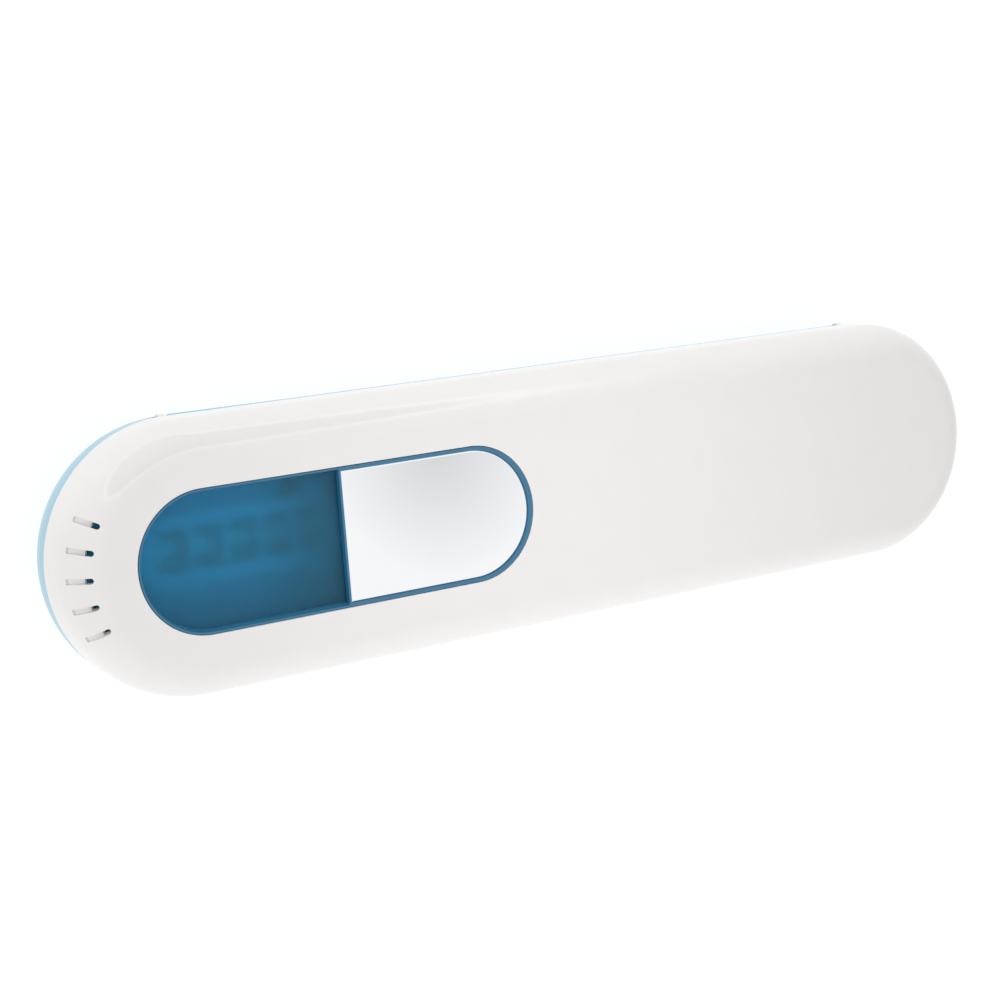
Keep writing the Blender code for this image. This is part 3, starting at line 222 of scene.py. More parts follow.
def peg(mesh, radius, centre, start, end, axis="Z"):
    turned(mesh, [(radius, start), (radius, end)], centre, axis)


def object_from(name, shape):
    """Turns a mesh under construction into an object in the scene."""
    bmesh.ops.recalc_face_normals(shape, faces=shape.faces)
    mesh = bpy.data.meshes.new(name)
    shape.to_mesh(mesh)
    shape.free()
    mesh.shade_smooth()
    obj = bpy.data.objects.new(name, mesh)
    bpy.context.scene.collection.objects.link(obj)
    return obj


print("bodies are skinned rings, prisms and turned profiles")

# %% [markdown]
# ## Joining, cutting and easing edges
#
# Bosses are joined and slots are cut with Boolean modifiers, and the result is baked into the mesh so that
# the helper bodies can go. A Boolean leaves thin triangles on a flat, which would show as streaks in the
# gloss, so faces in one plane are merged. A moulded part has no knife-sharp edge, so a small Bevel follows.
# Weighted Normal then keeps the large flats flat in the reflections while the rounded edges shade smoothly.

# %% Piece from bodies
BEVEL_ANGLE = math.radians(35.0)
BEVEL_SEGMENTS = 2
FACE_WEIGHT = 100
FLAT_ANGLE = math.radians(0.2)
TINY = 0.01 * MM


def combine(obj, joins=(), cuts=()):
    """Fuses and then cuts helper bodies, and keeps only the result."""
    helpers = []
    for operation, shapes in (("UNION", joins), ("DIFFERENCE", cuts)):
        for shape in shapes:
            helper = object_from(f"{obj.name}_helper", shape)
            helpers.append(helper)
            modifier = obj.modifiers.new(operation, "BOOLEAN")
            modifier.operation = operation
            modifier.solver = "EXACT"
            modifier.object = helper
    graph = bpy.context.evaluated_depsgraph_get()
    result = bpy.data.meshes.new_from_object(obj.evaluated_get(graph))
    obj.modifiers.clear()
    merged = bmesh.new()
    merged.from_mesh(result)
    bmesh.ops.remove_doubles(merged, verts=merged.verts, dist=TINY)
    bmesh.ops.dissolve_degenerate(merged, edges=merged.edges, dist=TINY)
    bmesh.ops.dissolve_limit(merged, angle_limit=FLAT_ANGLE, verts=merged.verts, edges=merged.edges)
    merged.to_mesh(result)
    merged.free()
    obj.data = result
    result.name = obj.name
    for helper in helpers:
        bpy.data.objects.remove(helper)


def ease_edges(obj, width):
    """A small round on every sharp edge, with flat faces kept flat."""
    bevel = obj.modifiers.new("eased_edges", "BEVEL")
    bevel.width = width
    bevel.segments = BEVEL_SEGMENTS
    bevel.limit_method = "ANGLE"
    bevel.angle_limit = BEVEL_ANGLE
    normals = obj.modifiers.new("flat_faces", "WEIGHTED_NORMAL")
    normals.weight = FACE_WEIGHT
    normals.keep_sharp = True


print("edges sharper than", round(math.degrees(BEVEL_ANGLE)), "degrees are eased")

# %% [markdown]
# ## The two shells
#
# Both halves of the case have one section: a flat, a large rounded shoulder, a wall, a rim with eased edges,
# and the same way back inside. The lid's flat has an opening that isn't concentric with the case, so the flat
# is filled between the two outlines. All of it lies in one plane, so its triangles never show.

# %% Shell section


def shell_section(flat, edge, fillet):
    """(inset, level) pairs from the outer flat round the rim to the inner flat."""
    side = 1 if flat > edge else -1
    spring = flat - side * fillet
    core = fillet - WALL
    turns = quarter(ROUND_STEPS)
    eased = quarter(EDGE_STEPS)
    outer = [(fillet * (1 - math.cos(a)), spring + side * fillet * math.sin(a)) for a in reversed(turns)]
    rim = [(EDGE_ROUND * (1 - math.cos(a)), edge + side * EDGE_ROUND * (1 - math.sin(a))) for a in eased]
    back = [(WALL - inset, level) for inset, level in reversed(rim)]
    inner = [(WALL + core * (1 - math.cos(a)), spring + side * core * math.sin(a)) for a in turns]
    return outer + rim + back + inner


def loop_edges(loop):
    """The edges between neighbouring vertices of a closed loop."""
    edges = []
    for k, vertex in enumerate(loop):
        after = loop[(k + 1) % len(loop)]
        edges.append(next(edge for edge in vertex.link_edges if edge.other_vert(vertex) == after))
    return edges


print(len(shell_section(FRONT, LID_EDGE, SHOULDER)), "levels in a shell's section")

# %% [markdown]
# ## White lid
#
# The lid is moulded in one piece. Five radial slots vent the lamp's warmth over the left shoulder. Each is a
# hole at its inner end, which shows dark, and a groove that grows shallower down the shoulder. Both are
# swept about the shoulder's own centre, so that the groove's floor follows the curve. Two ears at the back
# turn on the hinge pins, six stakes inside hold the window, and a rod inside presses the lamp's safety
# switch.

# %% Lid shell with its window opening
OPENING_ROUND = 0.3 * MM


def window_rings():
    """The wall of the window opening, from its eased front edge down to the inside."""
    rings = []
    for angle in quarter(EDGE_STEPS):
        grow = 2 * OPENING_ROUND * (1 - math.sin(angle))
        level = FRONT - OPENING_ROUND * (1 - math.cos(angle))
        rings.append(stadium(WINDOW_LENGTH + grow, WINDOW_WIDTH + grow, level, WINDOW_CENTRE))
    rings.append(stadium(WINDOW_LENGTH, WINDOW_WIDTH, FRONT - WALL, WINDOW_CENTRE))
    return rings


lid_shape = bmesh.new()
case_loops = skin(lid_shape, [case_ring(inset, z) for inset, z in shell_section(FRONT, LID_EDGE, SHOULDER)])
window_loops = skin(lid_shape, window_rings())
for case_loop, window_loop in ((case_loops[0], window_loops[0]), (case_loops[-1], window_loops[-1])):
    border = loop_edges(case_loop) + loop_edges(window_loop)
    bmesh.ops.triangle_fill(lid_shape, use_beauty=True, use_dissolve=False, edges=border)
lid = object_from("white_lid", lid_shape)
print(lid.name, "has", len(lid.data.polygons), "faces before its details")

# %% Vent slots, hinge ears, stakes and push rod
EAR_REACH = 3.0 * MM
EAR_THICKNESS = 1.8 * MM
STAKE_RADIUS = 0.8 * MM
STAKE_HEAD_RADIUS = 1.4 * MM
STAKE_HEAD_HEIGHT = 0.8 * MM
STAKE_SPACING = 24.0 * MM
DETENT_LENGTH = 20.0 * MM
DETENT_GROOVE = 1.0 * MM
DETENT_RISE = 1.0 * MM
DETENT_RADIUS = 0.8 * MM
ROD_RADIUS = 1.8 * MM
ROD_ROOT_RADIUS = 2.25 * MM
SHELL_EASE = 0.14 * MM
plunger_low, plunger_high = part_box("switch_plunger")
PLUNGER_PLACE = ((plunger_low.x + plunger_high.x) / 2, (plunger_low.y + plunger_high.y) / 2)


def shoulder_angle(inset):
    """How far up the shoulder's quarter round a point lies, by its inset from the outer wall."""
    return math.acos(1 - inset / SHOULDER)


def vent_stations():
    """The angle, depth and half width of a vent, from its shallow outer end to the hole's round end."""
    half = VENT_WIDTH / 2
    low = shoulder_angle(VENT_END_INSET)
    middle = shoulder_angle(VENT_INSET - VENT_HOLE)
    bend = shoulder_angle(VENT_INSET) - half / SHOULDER
    stations = []
    for step in range(GROOVE_STEPS + 1):
        share = step / GROOVE_STEPS
        depth = GROOVE_SHALLOW + (GROOVE_DEEP - GROOVE_SHALLOW) * share
        stations.append((low + (middle - low) * share, depth, half))
    stations.append((middle + VENT_WALL_TURN, VENT_DROP, half))
    for step in range(EDGE_STEPS + 1):
        turn = VENT_ROUND_TURN * step / EDGE_STEPS
        stations.append((bend + half / SHOULDER * math.sin(turn), VENT_DROP, half * math.cos(turn)))
    return stations


def vent_slots():
    """Radial slots about the left end's centre, swept about the centre of the shoulder's round."""
    mesh = bmesh.new()
    for number in range(VENT_COUNT):
        heading = math.pi + VENT_STEP * (number - (VENT_COUNT - 1) / 2)
        along = Vector((math.cos(heading), math.sin(heading), 0.0))
        across = Vector((-along.y, along.x, 0.0))
        rings = []
        for angle, depth, half in vent_stations():
            ring = []
            for rise, side in ((-depth, -half), (WALL, -half), (WALL, half), (-depth, half)):
                reach = END_RADIUS - SHOULDER + (SHOULDER + rise) * math.cos(angle)
                z = FRONT - SHOULDER + (SHOULDER + rise) * math.sin(angle)
                ring.append(Vector((-STRAIGHT, 0.0, z)) + reach * along + side * across)
            rings.append(ring)
        loft(mesh, rings)
    return mesh


def ear_outline():
    """Hinge ear across its axis: a round eye with a web up into the lid wall."""
    half = EAR_THICKNESS / 2
    start = math.acos(half / BARREL_RADIUS)
    outline = []
    for step in range(ROUND_SIDES + 1):
        angle = start - (math.pi + 2 * start) * step / ROUND_SIDES
        outline.append((HINGE_Y + BARREL_RADIUS * math.cos(angle), HINGE_Z + BARREL_RADIUS * math.sin(angle)))
    top = LID_EDGE + EAR_REACH
    return outline + [(HINGE_Y - half, top), (HINGE_Y + half - PART_GAP / 2, top)]


def stake_places():
    """Two stakes on each long side of the window and one at each end."""
    side = INSERT_WIDTH / 2 + FLANGE_WIDTH / 2
    end = INSERT_LENGTH / 2 + FLANGE_WIDTH / 2
    places = [(WINDOW_CENTRE - end, 0.0), (WINDOW_CENTRE + end, 0.0)]
    for along in (-STAKE_SPACING, STAKE_SPACING):
        places += [(WINDOW_CENTRE + along, side), (WINDOW_CENTRE + along, -side)]
    return places


lid_additions = bmesh.new()
lid_holes = vent_slots()
for side in (-1, 1):
    ear = (side * EAR_CENTRE - EAR_WIDTH / 2, side * EAR_CENTRE + EAR_WIDTH / 2)
    prism(lid_additions, ear_outline(), ear[0], ear[1], "X")
    peg(lid_holes, PIN_HOLE, (HINGE_Y, HINGE_Z), ear[0] - PART_GAP, ear[1] + PART_GAP, "X")
stake_root = FRONT - WALL / 2
stake_head = flange_low.z - PART_GAP
for place in stake_places():
    profile = [
        (STAKE_RADIUS, stake_head - STAKE_HEAD_HEIGHT),
        (STAKE_HEAD_RADIUS, stake_head - STAKE_HEAD_HEIGHT / 2),
        (STAKE_HEAD_RADIUS, stake_head),
        (STAKE_RADIUS, stake_head),
        (STAKE_RADIUS, stake_root),
    ]
    turned(lid_additions, profile, place)
turned(lid_additions, [(ROD_RADIUS, plunger_high.z + PART_GAP), (ROD_ROOT_RADIUS, stake_root)], PLUNGER_PLACE)
groove_place = (-WIDTH / 2 + WALL + DETENT_RADIUS, LID_EDGE + DETENT_RISE)
groove_reach = DETENT_LENGTH / 2 + 2 * PART_GAP
peg(lid_holes, DETENT_GROOVE, groove_place, -groove_reach, groove_reach, "X")
combine(lid, [lid_additions], [lid_holes])
ease_edges(lid, SHELL_EASE)
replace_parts(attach(lid, "lid"), "front_shell")
print(lid.name, "has", len(lid.data.polygons), "faces with", VENT_COUNT, "vents")

# %% [markdown]
# ## Pale blue base
#
# The base shows as a thin rim beside the lid and as the whole back of the case. Its hinge edge is rolled
# round the hinge axis, with a notch for each of the lid's ears, and a shallow scoop in the front edge
# leaves room for a thumb. The opening in the back is closed by the battery door.

# %% Base shell
door_low, door_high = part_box("battery_door")
BAY_WIDTH = door_high.y - door_low.y + 2 * PART_GAP
BAY_START = door_low.x - PART_GAP
OPENING_END = 82.7 * MM
NOTCH_HALF = EAR_WIDTH / 2 + PART_GAP
NOTCH_DEPTH = 0.5 * MM
NOTCH_FLARE = 0.7 * MM
HINGE_INSET = WIDTH / 2 - HINGE_Y
BASE_REVEAL = 0.27 * MM
# The hinge barrel's radius, and where along its half length it is measured: the barrel thins to the right.
BARREL_TAPER = ((0.99 * MM, -1.0), (0.83 * MM, -0.68), (0.75 * MM, -0.25), (0.72 * MM, 1.0))
SCOOP_RADIUS = 20.0 * MM
SCOOP_DEPTH = 1.05 * MM
SCOOP_HEIGHT = 4.5 * MM
SCOOP_SIDES = 200
BOSS_RADIUS = 2.4 * MM
POST_RADIUS = 2.0 * MM
POST_FOOT = 1 / 3
SCREW_HOLE = 0.95 * MM


def nose_outline():
    """What is cut away outside the rounded hinge edge."""
    reach = 3 * NOSE_RADIUS
    outline = []
    for angle in reversed(quarter(ROUND_STEPS)):
        outline.append((HINGE_Y + NOSE_RADIUS * math.cos(angle), HINGE_Z + NOSE_RADIUS * math.sin(angle)))
    corner = [(HINGE_Y + reach, HINGE_Z), (HINGE_Y + reach, HINGE_Z + reach), (HINGE_Y, HINGE_Z + reach)]
    return outline + corner


def notch_outline(x):
    """Gap for a hinge ear seen from above, flared towards the outside."""
    inside = HINGE_Y - 4 * WALL
    outside = HINGE_Y + 2 * HINGE_INSET
    wide = NOTCH_HALF + 2 * NOTCH_FLARE
    right = [(x + NOTCH_HALF, inside), (x + NOTCH_HALF, HINGE_Y), (x + wide, outside)]
    left = [(x - wide, outside), (x - NOTCH_HALF, HINGE_Y), (x - NOTCH_HALF, inside)]
    return right + left


def wall_level(place, radius):
    """Middle of the base's wall under the outer edge of a round post."""
    along = max(abs(place[0]) - STRAIGHT, 0.0)
    inset = END_RADIUS - math.hypot(along, place[1]) - radius
    slope = max(BACK_FILLET - inset, 0.0)
    return BACK_FILLET - math.sqrt(BACK_FILLET**2 - slope**2) + WALL / 2


def screw_post(mesh, radius, place, top):
    """A post whose foot follows the rounded back."""
    foot = radius * POST_FOOT
    profile = [(foot, wall_level(place, foot)), (radius, wall_level(place, radius)), (radius, top)]
    turned(mesh, profile, place)


def middle_of(node):
    low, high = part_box(node)
    return ((low.x + high.x) / 2, (low.y + high.y) / 2)


base_shape = bmesh.new()
base_rings = [case_ring(inset + BASE_REVEAL, z) for inset, z in shell_section(0.0, RIM, BACK_FILLET)]
base_loops = skin(base_shape, base_rings)
base_shape.faces.new(base_loops[0])
base_shape.faces.new(base_loops[-1])
base = object_from("blue_base", base_shape)
base_additions = bmesh.new()
barrel = EAR_CENTRE - NOTCH_HALF - PART_GAP
barrel_profile = [(radius, share * barrel) for radius, share in BARREL_TAPER]
turned(base_additions, barrel_profile, (HINGE_Y, HINGE_Z), "X")
tray_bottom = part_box("battery_cradle")[1].z + PART_GAP
board_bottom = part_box("circuit_board")[0].z
base_holes = bmesh.new()
posts = ((4, "tray", BOSS_RADIUS, tray_bottom), (2, "board", POST_RADIUS, board_bottom))
for count, word, radius, top in posts:
    for number in range(1, count + 1):
        place = middle_of(f"{word}_screw_{number}")
        screw_post(base_additions, radius, place, top - BOND_GAP)
        peg(base_holes, SCREW_HOLE, place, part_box(f"{word}_screw_{number}")[0].z - PART_GAP, top + WALL)
nose = bmesh.new()
nose_reach = STRAIGHT + END_RADIUS / 3
prism(nose, nose_outline(), -nose_reach, nose_reach, "X")
notches = bmesh.new()
notch_low = HINGE_Z - BARREL_RADIUS - NOTCH_DEPTH
for side in (-1, 1):
    prism(notches, notch_outline(side * EAR_CENTRE), notch_low, RIM + WALL)
    pin_end = side * (EAR_CENTRE + EAR_WIDTH / 2 - (pin_high.x - pin_low.x) - PART_GAP)
    peg(base_holes, PIN_HOLE, (HINGE_Y, HINGE_Z), pin_end, side * EAR_CENTRE, "X")
opening = [(BAY_START, -BAY_WIDTH / 2), (OPENING_END, -BAY_WIDTH / 2)]
opening += [(OPENING_END, BAY_WIDTH / 2), (BAY_START, BAY_WIDTH / 2)]
prism(base_holes, opening, -WALL, 2 * WALL)
scoop_profile = [(SCOOP_RADIUS, RIM - SCOOP_HEIGHT), (SCOOP_RADIUS, RIM + WALL)]
scoop_y = -WIDTH / 2 + BASE_REVEAL + SCOOP_DEPTH - SCOOP_RADIUS
turned(base_holes, scoop_profile, (0.0, scoop_y), "Z", SCOOP_SIDES)
combine(base, [base_additions], [nose, notches, base_holes])
ease_edges(base, SHELL_EASE)
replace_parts(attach(base, "base"), "rear_shell")
print(base.name, "has", len(base.data.polygons), "faces")

# %% [markdown]
# ## Window insert and mirror
#
# The insert is one clear blue moulding with a flange behind the lid's wall. Its left half is sunk a little,
# with drafted sides that catch the light as a paler band, and its right half is a pocket for the mirror.
# The mirror is a thin plate of silvered acrylic with a shallow bevel, and a painted bright line on its sides
# stands in for the light that its edge carries.

# %% Insert and mirror
RIM_WIDTH = 0.55 * MM
MIRROR_GAP = 0.15 * MM
DIVIDER_WIDTH = 0.5 * MM
VIEW_RECESS = 1.2 * MM
VIEW_RIM = 0.2 * MM
VIEW_DRAFT = 0.45 * MM
POCKET_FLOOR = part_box("mirror_tape")[0].z - BOND_GAP
POCKET_START = mirror_low.x - MIRROR_GAP
POCKET_END = mirror_high.x + MIRROR_GAP
POCKET_WIDTH = INSERT_WIDTH - 2 * RIM_WIDTH
VIEW_START = WINDOW_CENTRE - INSERT_LENGTH / 2 + VIEW_RIM
VIEW_END = POCKET_START - DIVIDER_WIDTH
VIEW_WIDTH = INSERT_WIDTH - 2 * VIEW_RIM
MIRROR_BEVEL = 0.35 * MM
MIRROR_FALL = 0.1 * MM
MIRROR_SNUG = 0.1 * MM
SNUG = 0.2 * MM
INSERT_EASE = 0.1 * MM

flange_top = flange_low.z + FLANGE_THICKNESS
insert_levels = [(FLANGE_WIDTH, flange_low.z), (FLANGE_WIDTH, flange_top)]
insert_levels += [(SNUG, flange_top), (SNUG, INSERT_TOP)]
insert_rings = []
for grow, level in insert_levels:
    insert_rings.append(stadium(INSERT_LENGTH + 2 * grow, INSERT_WIDTH + 2 * grow, level, WINDOW_CENTRE))
insert_shape = bmesh.new()
loft(insert_shape, insert_rings)
insert = object_from("blue_window", insert_shape)
over = INSERT_TOP + WALL
hollows = bmesh.new()
loft(hollows, [half_stadium(POCKET_START, POCKET_END, POCKET_WIDTH, z) for z in (POCKET_FLOOR, over)])
view_floor = INSERT_TOP - VIEW_RECESS
view_lean = VIEW_DRAFT / 2
view_rings = [half_stadium(VIEW_END, VIEW_START + view_lean, VIEW_WIDTH - VIEW_DRAFT, view_floor, view_lean)]
view_rings += [half_stadium(VIEW_END, VIEW_START, VIEW_WIDTH, z) for z in (INSERT_TOP, over)]
loft(hollows, view_rings)
for place in stake_places():
    peg(hollows, STAKE_RADIUS + PART_GAP, place, flange_low.z - WALL, flange_top + WALL / 4)
combine(insert, (), [hollows])
ease_edges(insert, INSERT_EASE)
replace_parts(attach(insert, "lid"), "window_insert")

mirror_start = mirror_low.x - MIRROR_SNUG
mirror_end = mirror_high.x + MIRROR_SNUG
mirror_width = mirror_high.y - mirror_low.y + 2 * MIRROR_SNUG
mirror_shape = bmesh.new()
mirror_rings = []
mirror_levels = [(0.0, mirror_low.z), (0.0, mirror_high.z - MIRROR_FALL), (MIRROR_BEVEL, mirror_high.z)]
for inset, level in mirror_levels:
    start, end = mirror_start + inset, mirror_end - inset
    mirror_rings.append(half_stadium(start, end, mirror_width - 2 * inset, level))
loft(mirror_shape, mirror_rings)
mirror = object_from("mirror_plate", mirror_shape)
mirror.data.shade_flat()
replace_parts(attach(mirror, "lid"), "mirror")
print(insert.name, len(insert.data.polygons), "faces,", mirror.name, len(mirror.data.polygons), "faces")

# %% [markdown]
# ## Screws
#
# Four self-tapping screws hold the tray and two hold the circuit board. Each is turned from one profile, with
# a rounded pan head and a shank whose thread is drawn as ridges. A tapered cross is cut into the head, turned
# by a different angle on each screw, because a driver leaves them so.

# %% Screws with a cross recess
SCREW_RADIUS = 0.8 * MM
TIP_RADIUS = 0.2 * MM
HEAD_RADIUS = 1.8 * MM
HEAD_HEIGHT = 1.2 * MM
HEAD_ROUND = 0.7 * MM
THREAD_PITCH = 0.7 * MM
THREAD_DEPTH = 0.2 * MM
CROSS_REACH = 1.1 * MM
CROSS_WIDTH = 0.55 * MM
CROSS_DEPTH = 0.75 * MM
SCREW_EASE = 0.05 * MM
FIRST_TURN = math.radians(25.0)
NEXT_TURN = math.radians(31.0)


def screw_profile(bottom, top):
    """(radius, level) pairs from the tip over the ridges of the thread to the rounded head."""
    neck = top - HEAD_HEIGHT
    ridges = int((neck - bottom - SCREW_RADIUS) / THREAD_PITCH)
    profile = [(TIP_RADIUS, bottom)]
    for ridge in range(ridges):
        level = bottom + SCREW_RADIUS + ridge * THREAD_PITCH
        profile += [(SCREW_RADIUS - THREAD_DEPTH, level), (SCREW_RADIUS, level + THREAD_PITCH / 2)]
    profile += [(SCREW_RADIUS - THREAD_DEPTH, neck), (HEAD_RADIUS, neck)]
    for angle in quarter(EDGE_STEPS):
        inset = HEAD_ROUND * (1 - math.cos(angle))
        profile.append((HEAD_RADIUS - inset, top - HEAD_ROUND * (1 - math.sin(angle))))
    return profile


def cross_slot(place, top, turn):
    """One arm of the cross, half as long at its floor as at the head's top."""
    mesh = bmesh.new()
    rings = []
    for depth in (CROSS_DEPTH, -CROSS_DEPTH):
        reach = CROSS_REACH - CROSS_REACH / 2 * depth / CROSS_DEPTH
        ring = []
        for along, across in ((-1, -1), (1, -1), (1, 1), (-1, 1)):
            x, y = along * reach, across * CROSS_WIDTH / 2
            u = place[0] + x * math.cos(turn) - y * math.sin(turn)
            v = place[1] + x * math.sin(turn) + y * math.cos(turn)
            ring.append(Vector((u, v, top - depth)))
        rings.append(ring)
    loft(mesh, rings)
    return mesh


screws = []
for number, node in enumerate(name for name in nodes if name.startswith(("tray_screw", "board_screw"))):
    low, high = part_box(node)
    place = middle_of(node)
    screw_shape = bmesh.new()
    turned(screw_shape, screw_profile(low.z, high.z), place)
    screw = object_from(f"cross_head_{node}", screw_shape)
    turns = [FIRST_TURN + NEXT_TURN * number + quarter_turn for quarter_turn in (0.0, math.pi / 2)]
    combine(screw, (), [cross_slot(place, high.z, turn) for turn in turns])
    ease_edges(screw, SCREW_EASE)
    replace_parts(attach(screw, "base"), node)
    screws.append(screw)
print(len(screws), "screws")

# %% [markdown]
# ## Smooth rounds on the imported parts
#
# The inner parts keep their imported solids, which arrive as flat facets. A small Geometry Nodes modifier
# merges the facets' shared corners and smooths across gentle edges, so that a tube shades as a tube. The
# mouldings that a hand touches also get eased edges: Decimate first merges the triangles of each flat face,
# so that the Bevel has clean edges to follow. The meshes aren't touched, because modifiers only change what
# is shown.

# %% Smoothing modifier
MERGE_DISTANCE = 0.005 * MM
SMOOTH_ANGLE = math.radians(32.0)


def add_node(tree, kind, settings=(), links=()):
    """Adds a node, sets its options or sockets by name, and links its sockets."""
    node = tree.nodes.new(kind)
    for name, value in dict(settings).items():
        if isinstance(name, int) or name in node.inputs:
            node.inputs[name].default_value = value
        else:
            setattr(node, name, value)
    for name, source in dict(links).items():
        tree.links.new(source, node.inputs[name])
    return node


rounds = bpy.data.node_groups.new("smooth_rounds", "GeometryNodeTree")
rounds.interface.new_socket("Geometry", in_out="INPUT", socket_type="NodeSocketGeometry")
rounds.interface.new_socket("Geometry", in_out="OUTPUT", socket_type="NodeSocketGeometry")
facets = add_node(rounds, "NodeGroupInput")
merged = add_node(
    rounds,
    "GeometryNodeMergeByDistance",
    {"Distance": MERGE_DISTANCE},
    {"Geometry": facets.outputs["Geometry"]},
)
bend = add_node(rounds, "GeometryNodeInputMeshEdgeAngle")
sharp = add_node(
    rounds, "FunctionNodeCompare", {"operation": "GREATER_THAN", 1: SMOOTH_ANGLE}, {0: bend.outputs[0]}
)
shaded = add_node(
    rounds,
    "GeometryNodeSetMeshNormal",
    {"mode": "SHARPNESS", "Remove Custom": True},
    {"Mesh": merged.outputs[0], "Edge Sharpness": sharp.outputs[0]},
)
add_node(rounds, "NodeGroupOutput", (), {"Geometry": shaded.outputs[0]})

EASED = {"inner_tray": 0.2 * MM, "lamp_guard": 0.12 * MM, "battery_door": 0.15 * MM}
shown = {name: node for name, node in nodes.items() if not node.hide_render}
for name, node in shown.items():
    modifier = node.modifiers.new("smooth_rounds", "NODES")
    modifier.node_group = rounds
    if name in EASED:
        flats = node.modifiers.new("whole_flats", "DECIMATE")
        flats.decimate_type = "DISSOLVE"
        flats.angle_limit = FLAT_ANGLE
        ease_edges(node, EASED[name])
print(len(shown), "packed parts smoothed,", len(EASED), "of them eased")

# %% [markdown]
# ## Materials
#
# Each finish starts from what the real part is made of and how its surface was made. A noise pattern at a
# real size in millimetres varies the colour and the roughness slightly, as moulding and plating do, so that
# no surface is one flat colour. Values that are the same all over are set on the shader itself.

# %% Colours and a surface with fine variation
GRAIN_DETAIL = 3.0


def linear(code):
    """A shader colour from an sRGB hex value."""
    channels = [int(code[k : k + 2], 16) / 255 for k in (1, 3, 5)]
    values = [c / 12.92 if c <= 0.04045 else ((c + 0.055) / 1.055) ** 2.4 for c in channels]
    return (*values, 1.0)


def surface(name, colours, roughness, grain, sockets=()):
    """A Principled material: two close colours and a roughness range, mixed by a grain of a real size."""
    material = bpy.data.materials.new(name)
    material.use_nodes = True
    tree = material.node_tree
    shader = tree.nodes["Principled BSDF"]
    place = add_node(tree, "ShaderNodeTexCoord")
    pattern = {"Scale": 1 / grain, "Detail": GRAIN_DETAIL}
    noise = add_node(tree, "ShaderNodeTexNoise", pattern, {"Vector": place.outputs["Object"]})
    blend = {"data_type": "RGBA", 6: linear(colours[0]), 7: linear(colours[1])}
    colour = add_node(tree, "ShaderNodeMix", blend, {0: noise.outputs[0]})
    tree.links.new(colour.outputs[2], shader.inputs["Base Color"])
    limits = {"To Min": roughness[0], "To Max": roughness[1]}
    rough = add_node(tree, "ShaderNodeMapRange", limits, {"Value": noise.outputs[0]})
    tree.links.new(rough.outputs[0], shader.inputs["Roughness"])
    for socket, value in dict(sockets).items():
        shader.inputs[socket].default_value = value
    return material


def paint(material, *pieces):
    for piece in pieces:
        piece.data.materials.clear()
        piece.data.materials.append(material)


print("a middle grey reads as", round(linear("#808080")[0], 3))

# %% Shell plastics
ABS = {"IOR": 1.53}
# White ABS from a polished mould: an even colour and a clear sharp sheen.
white_abs = surface("white_abs_gloss_moulded", ("#E7E5E4", "#EBE9E8"), (0.07, 0.11), 6.0 * MM, sockets=ABS)
# Blue ABS from a less polished mould: the same plastic with a softer sheen.
blue_abs = surface("blue_abs_gloss_moulded", ("#97C3D6", "#9FC8DA"), (0.2, 0.3), 5.0 * MM, sockets=ABS)
# Grey-blue ABS from a spark-eroded mould: a satin that hides fingerprints inside the case.
tray_abs = surface("blue_abs_satin_tray", ("#6E94A7", "#769CAE"), (0.34, 0.44), 3.0 * MM, sockets=ABS)
paint(white_abs, lid)
paint(blue_abs, base, nodes["battery_door"])
paint(tray_abs, nodes["inner_tray"], nodes["battery_cradle"])
print("shells painted")

# %% [markdown]
# ## Window and mirror finishes
#
# The window is one dyed plastic that looks different by its depth. Where light passes straight through, it
# tints the inside, and a slight haze in the dye lifts the shadows. Where it is seen along its depth, as in
# the border, the dye gathers to a solid blue. Two materials on one mesh show that without a costly volume.

# %% Window and mirror
# Clear polycarbonate with a blue dye and a satin face: it shows the inside as a soft blue picture.
window_clear = {"IOR": 1.25, "Transmission Weight": 0.94}
window_pc = surface(
    "blue_polycarbonate_moulded", ("#57D4F7", "#5FD7F8"), (0.34, 0.42), 8.0 * MM, sockets=window_clear
)
# The same plastic seen along its depth: a solid satin blue.
deep = {"IOR": 1.58}
border_pc = surface("blue_polycarbonate_border", ("#266889", "#2D6F92"), (0.3, 0.38), 2.0 * MM, sockets=deep)
# Acrylic with a silvered face and bevel: a cool bright reflection, a little uneven as a cheap mirror is.
SILVERY = {"Metallic": 1.0}
mirror_pmma = surface("silvered_acrylic", ("#F3F5F8", "#F7F8FA"), (0.015, 0.05), 14.0 * MM, sockets=SILVERY)
# The mirror's sawn and polished sides, clear acrylic without silver: their near white is a painted bright
# line, light carried through the acrylic painted onto the edge where it meets the pocket.
painted_bright_edge_pmma = surface("acrylic_edge_painted_bright_line", ("#FBFBFB", "#FEFEFE"), (0.1, 0.2), 2.0 * MM)
BORDER_LEVEL = view_floor + 2 * TINY
FLAT_LIMIT = 0.95
paint(window_pc, insert)
insert.data.materials.append(border_pc)
for face in insert.data.polygons:
    face.material_index = int(face.center.z > BORDER_LEVEL)
paint(mirror_pmma, mirror)
mirror.data.materials.append(painted_bright_edge_pmma)
# The steep side faces take the painted bright line, and the flat face stays silvered.
for face in mirror.data.polygons:
    face.material_index = int(abs(face.normal.z) < FLAT_LIMIT)
print("window and mirror painted")

# %% [markdown]
# ## Finishes inside
#
# With the lid open the lamp, its guard and the brush tray show, and behind the battery door lie the cells.
# Each finish keeps what its process leaves on the surface: plating is bright and slightly broken up, drawn
# glass is clear, and sintered or cast parts are dull. One function makes them all, and only values differ.

# %% Plastics, rubber and glass inside
# Satin moulded ABS: a soft even sheen without a clear reflection.
guard_abs = surface("pale_abs_satin_guard", ("#8CB0BF", "#94B8C6"), (0.34, 0.42), 2.0 * MM, sockets=ABS)
# Drawn quartz: clear with a slight milkiness, and a sharp highlight along the tube.
clear_quartz = {"Transmission Weight": 0.5}
quartz = surface("quartz_glass_drawn", ("#F2F7F9", "#F7FBFC"), (0.04, 0.08), 9.0 * MM, sockets=clear_quartz)
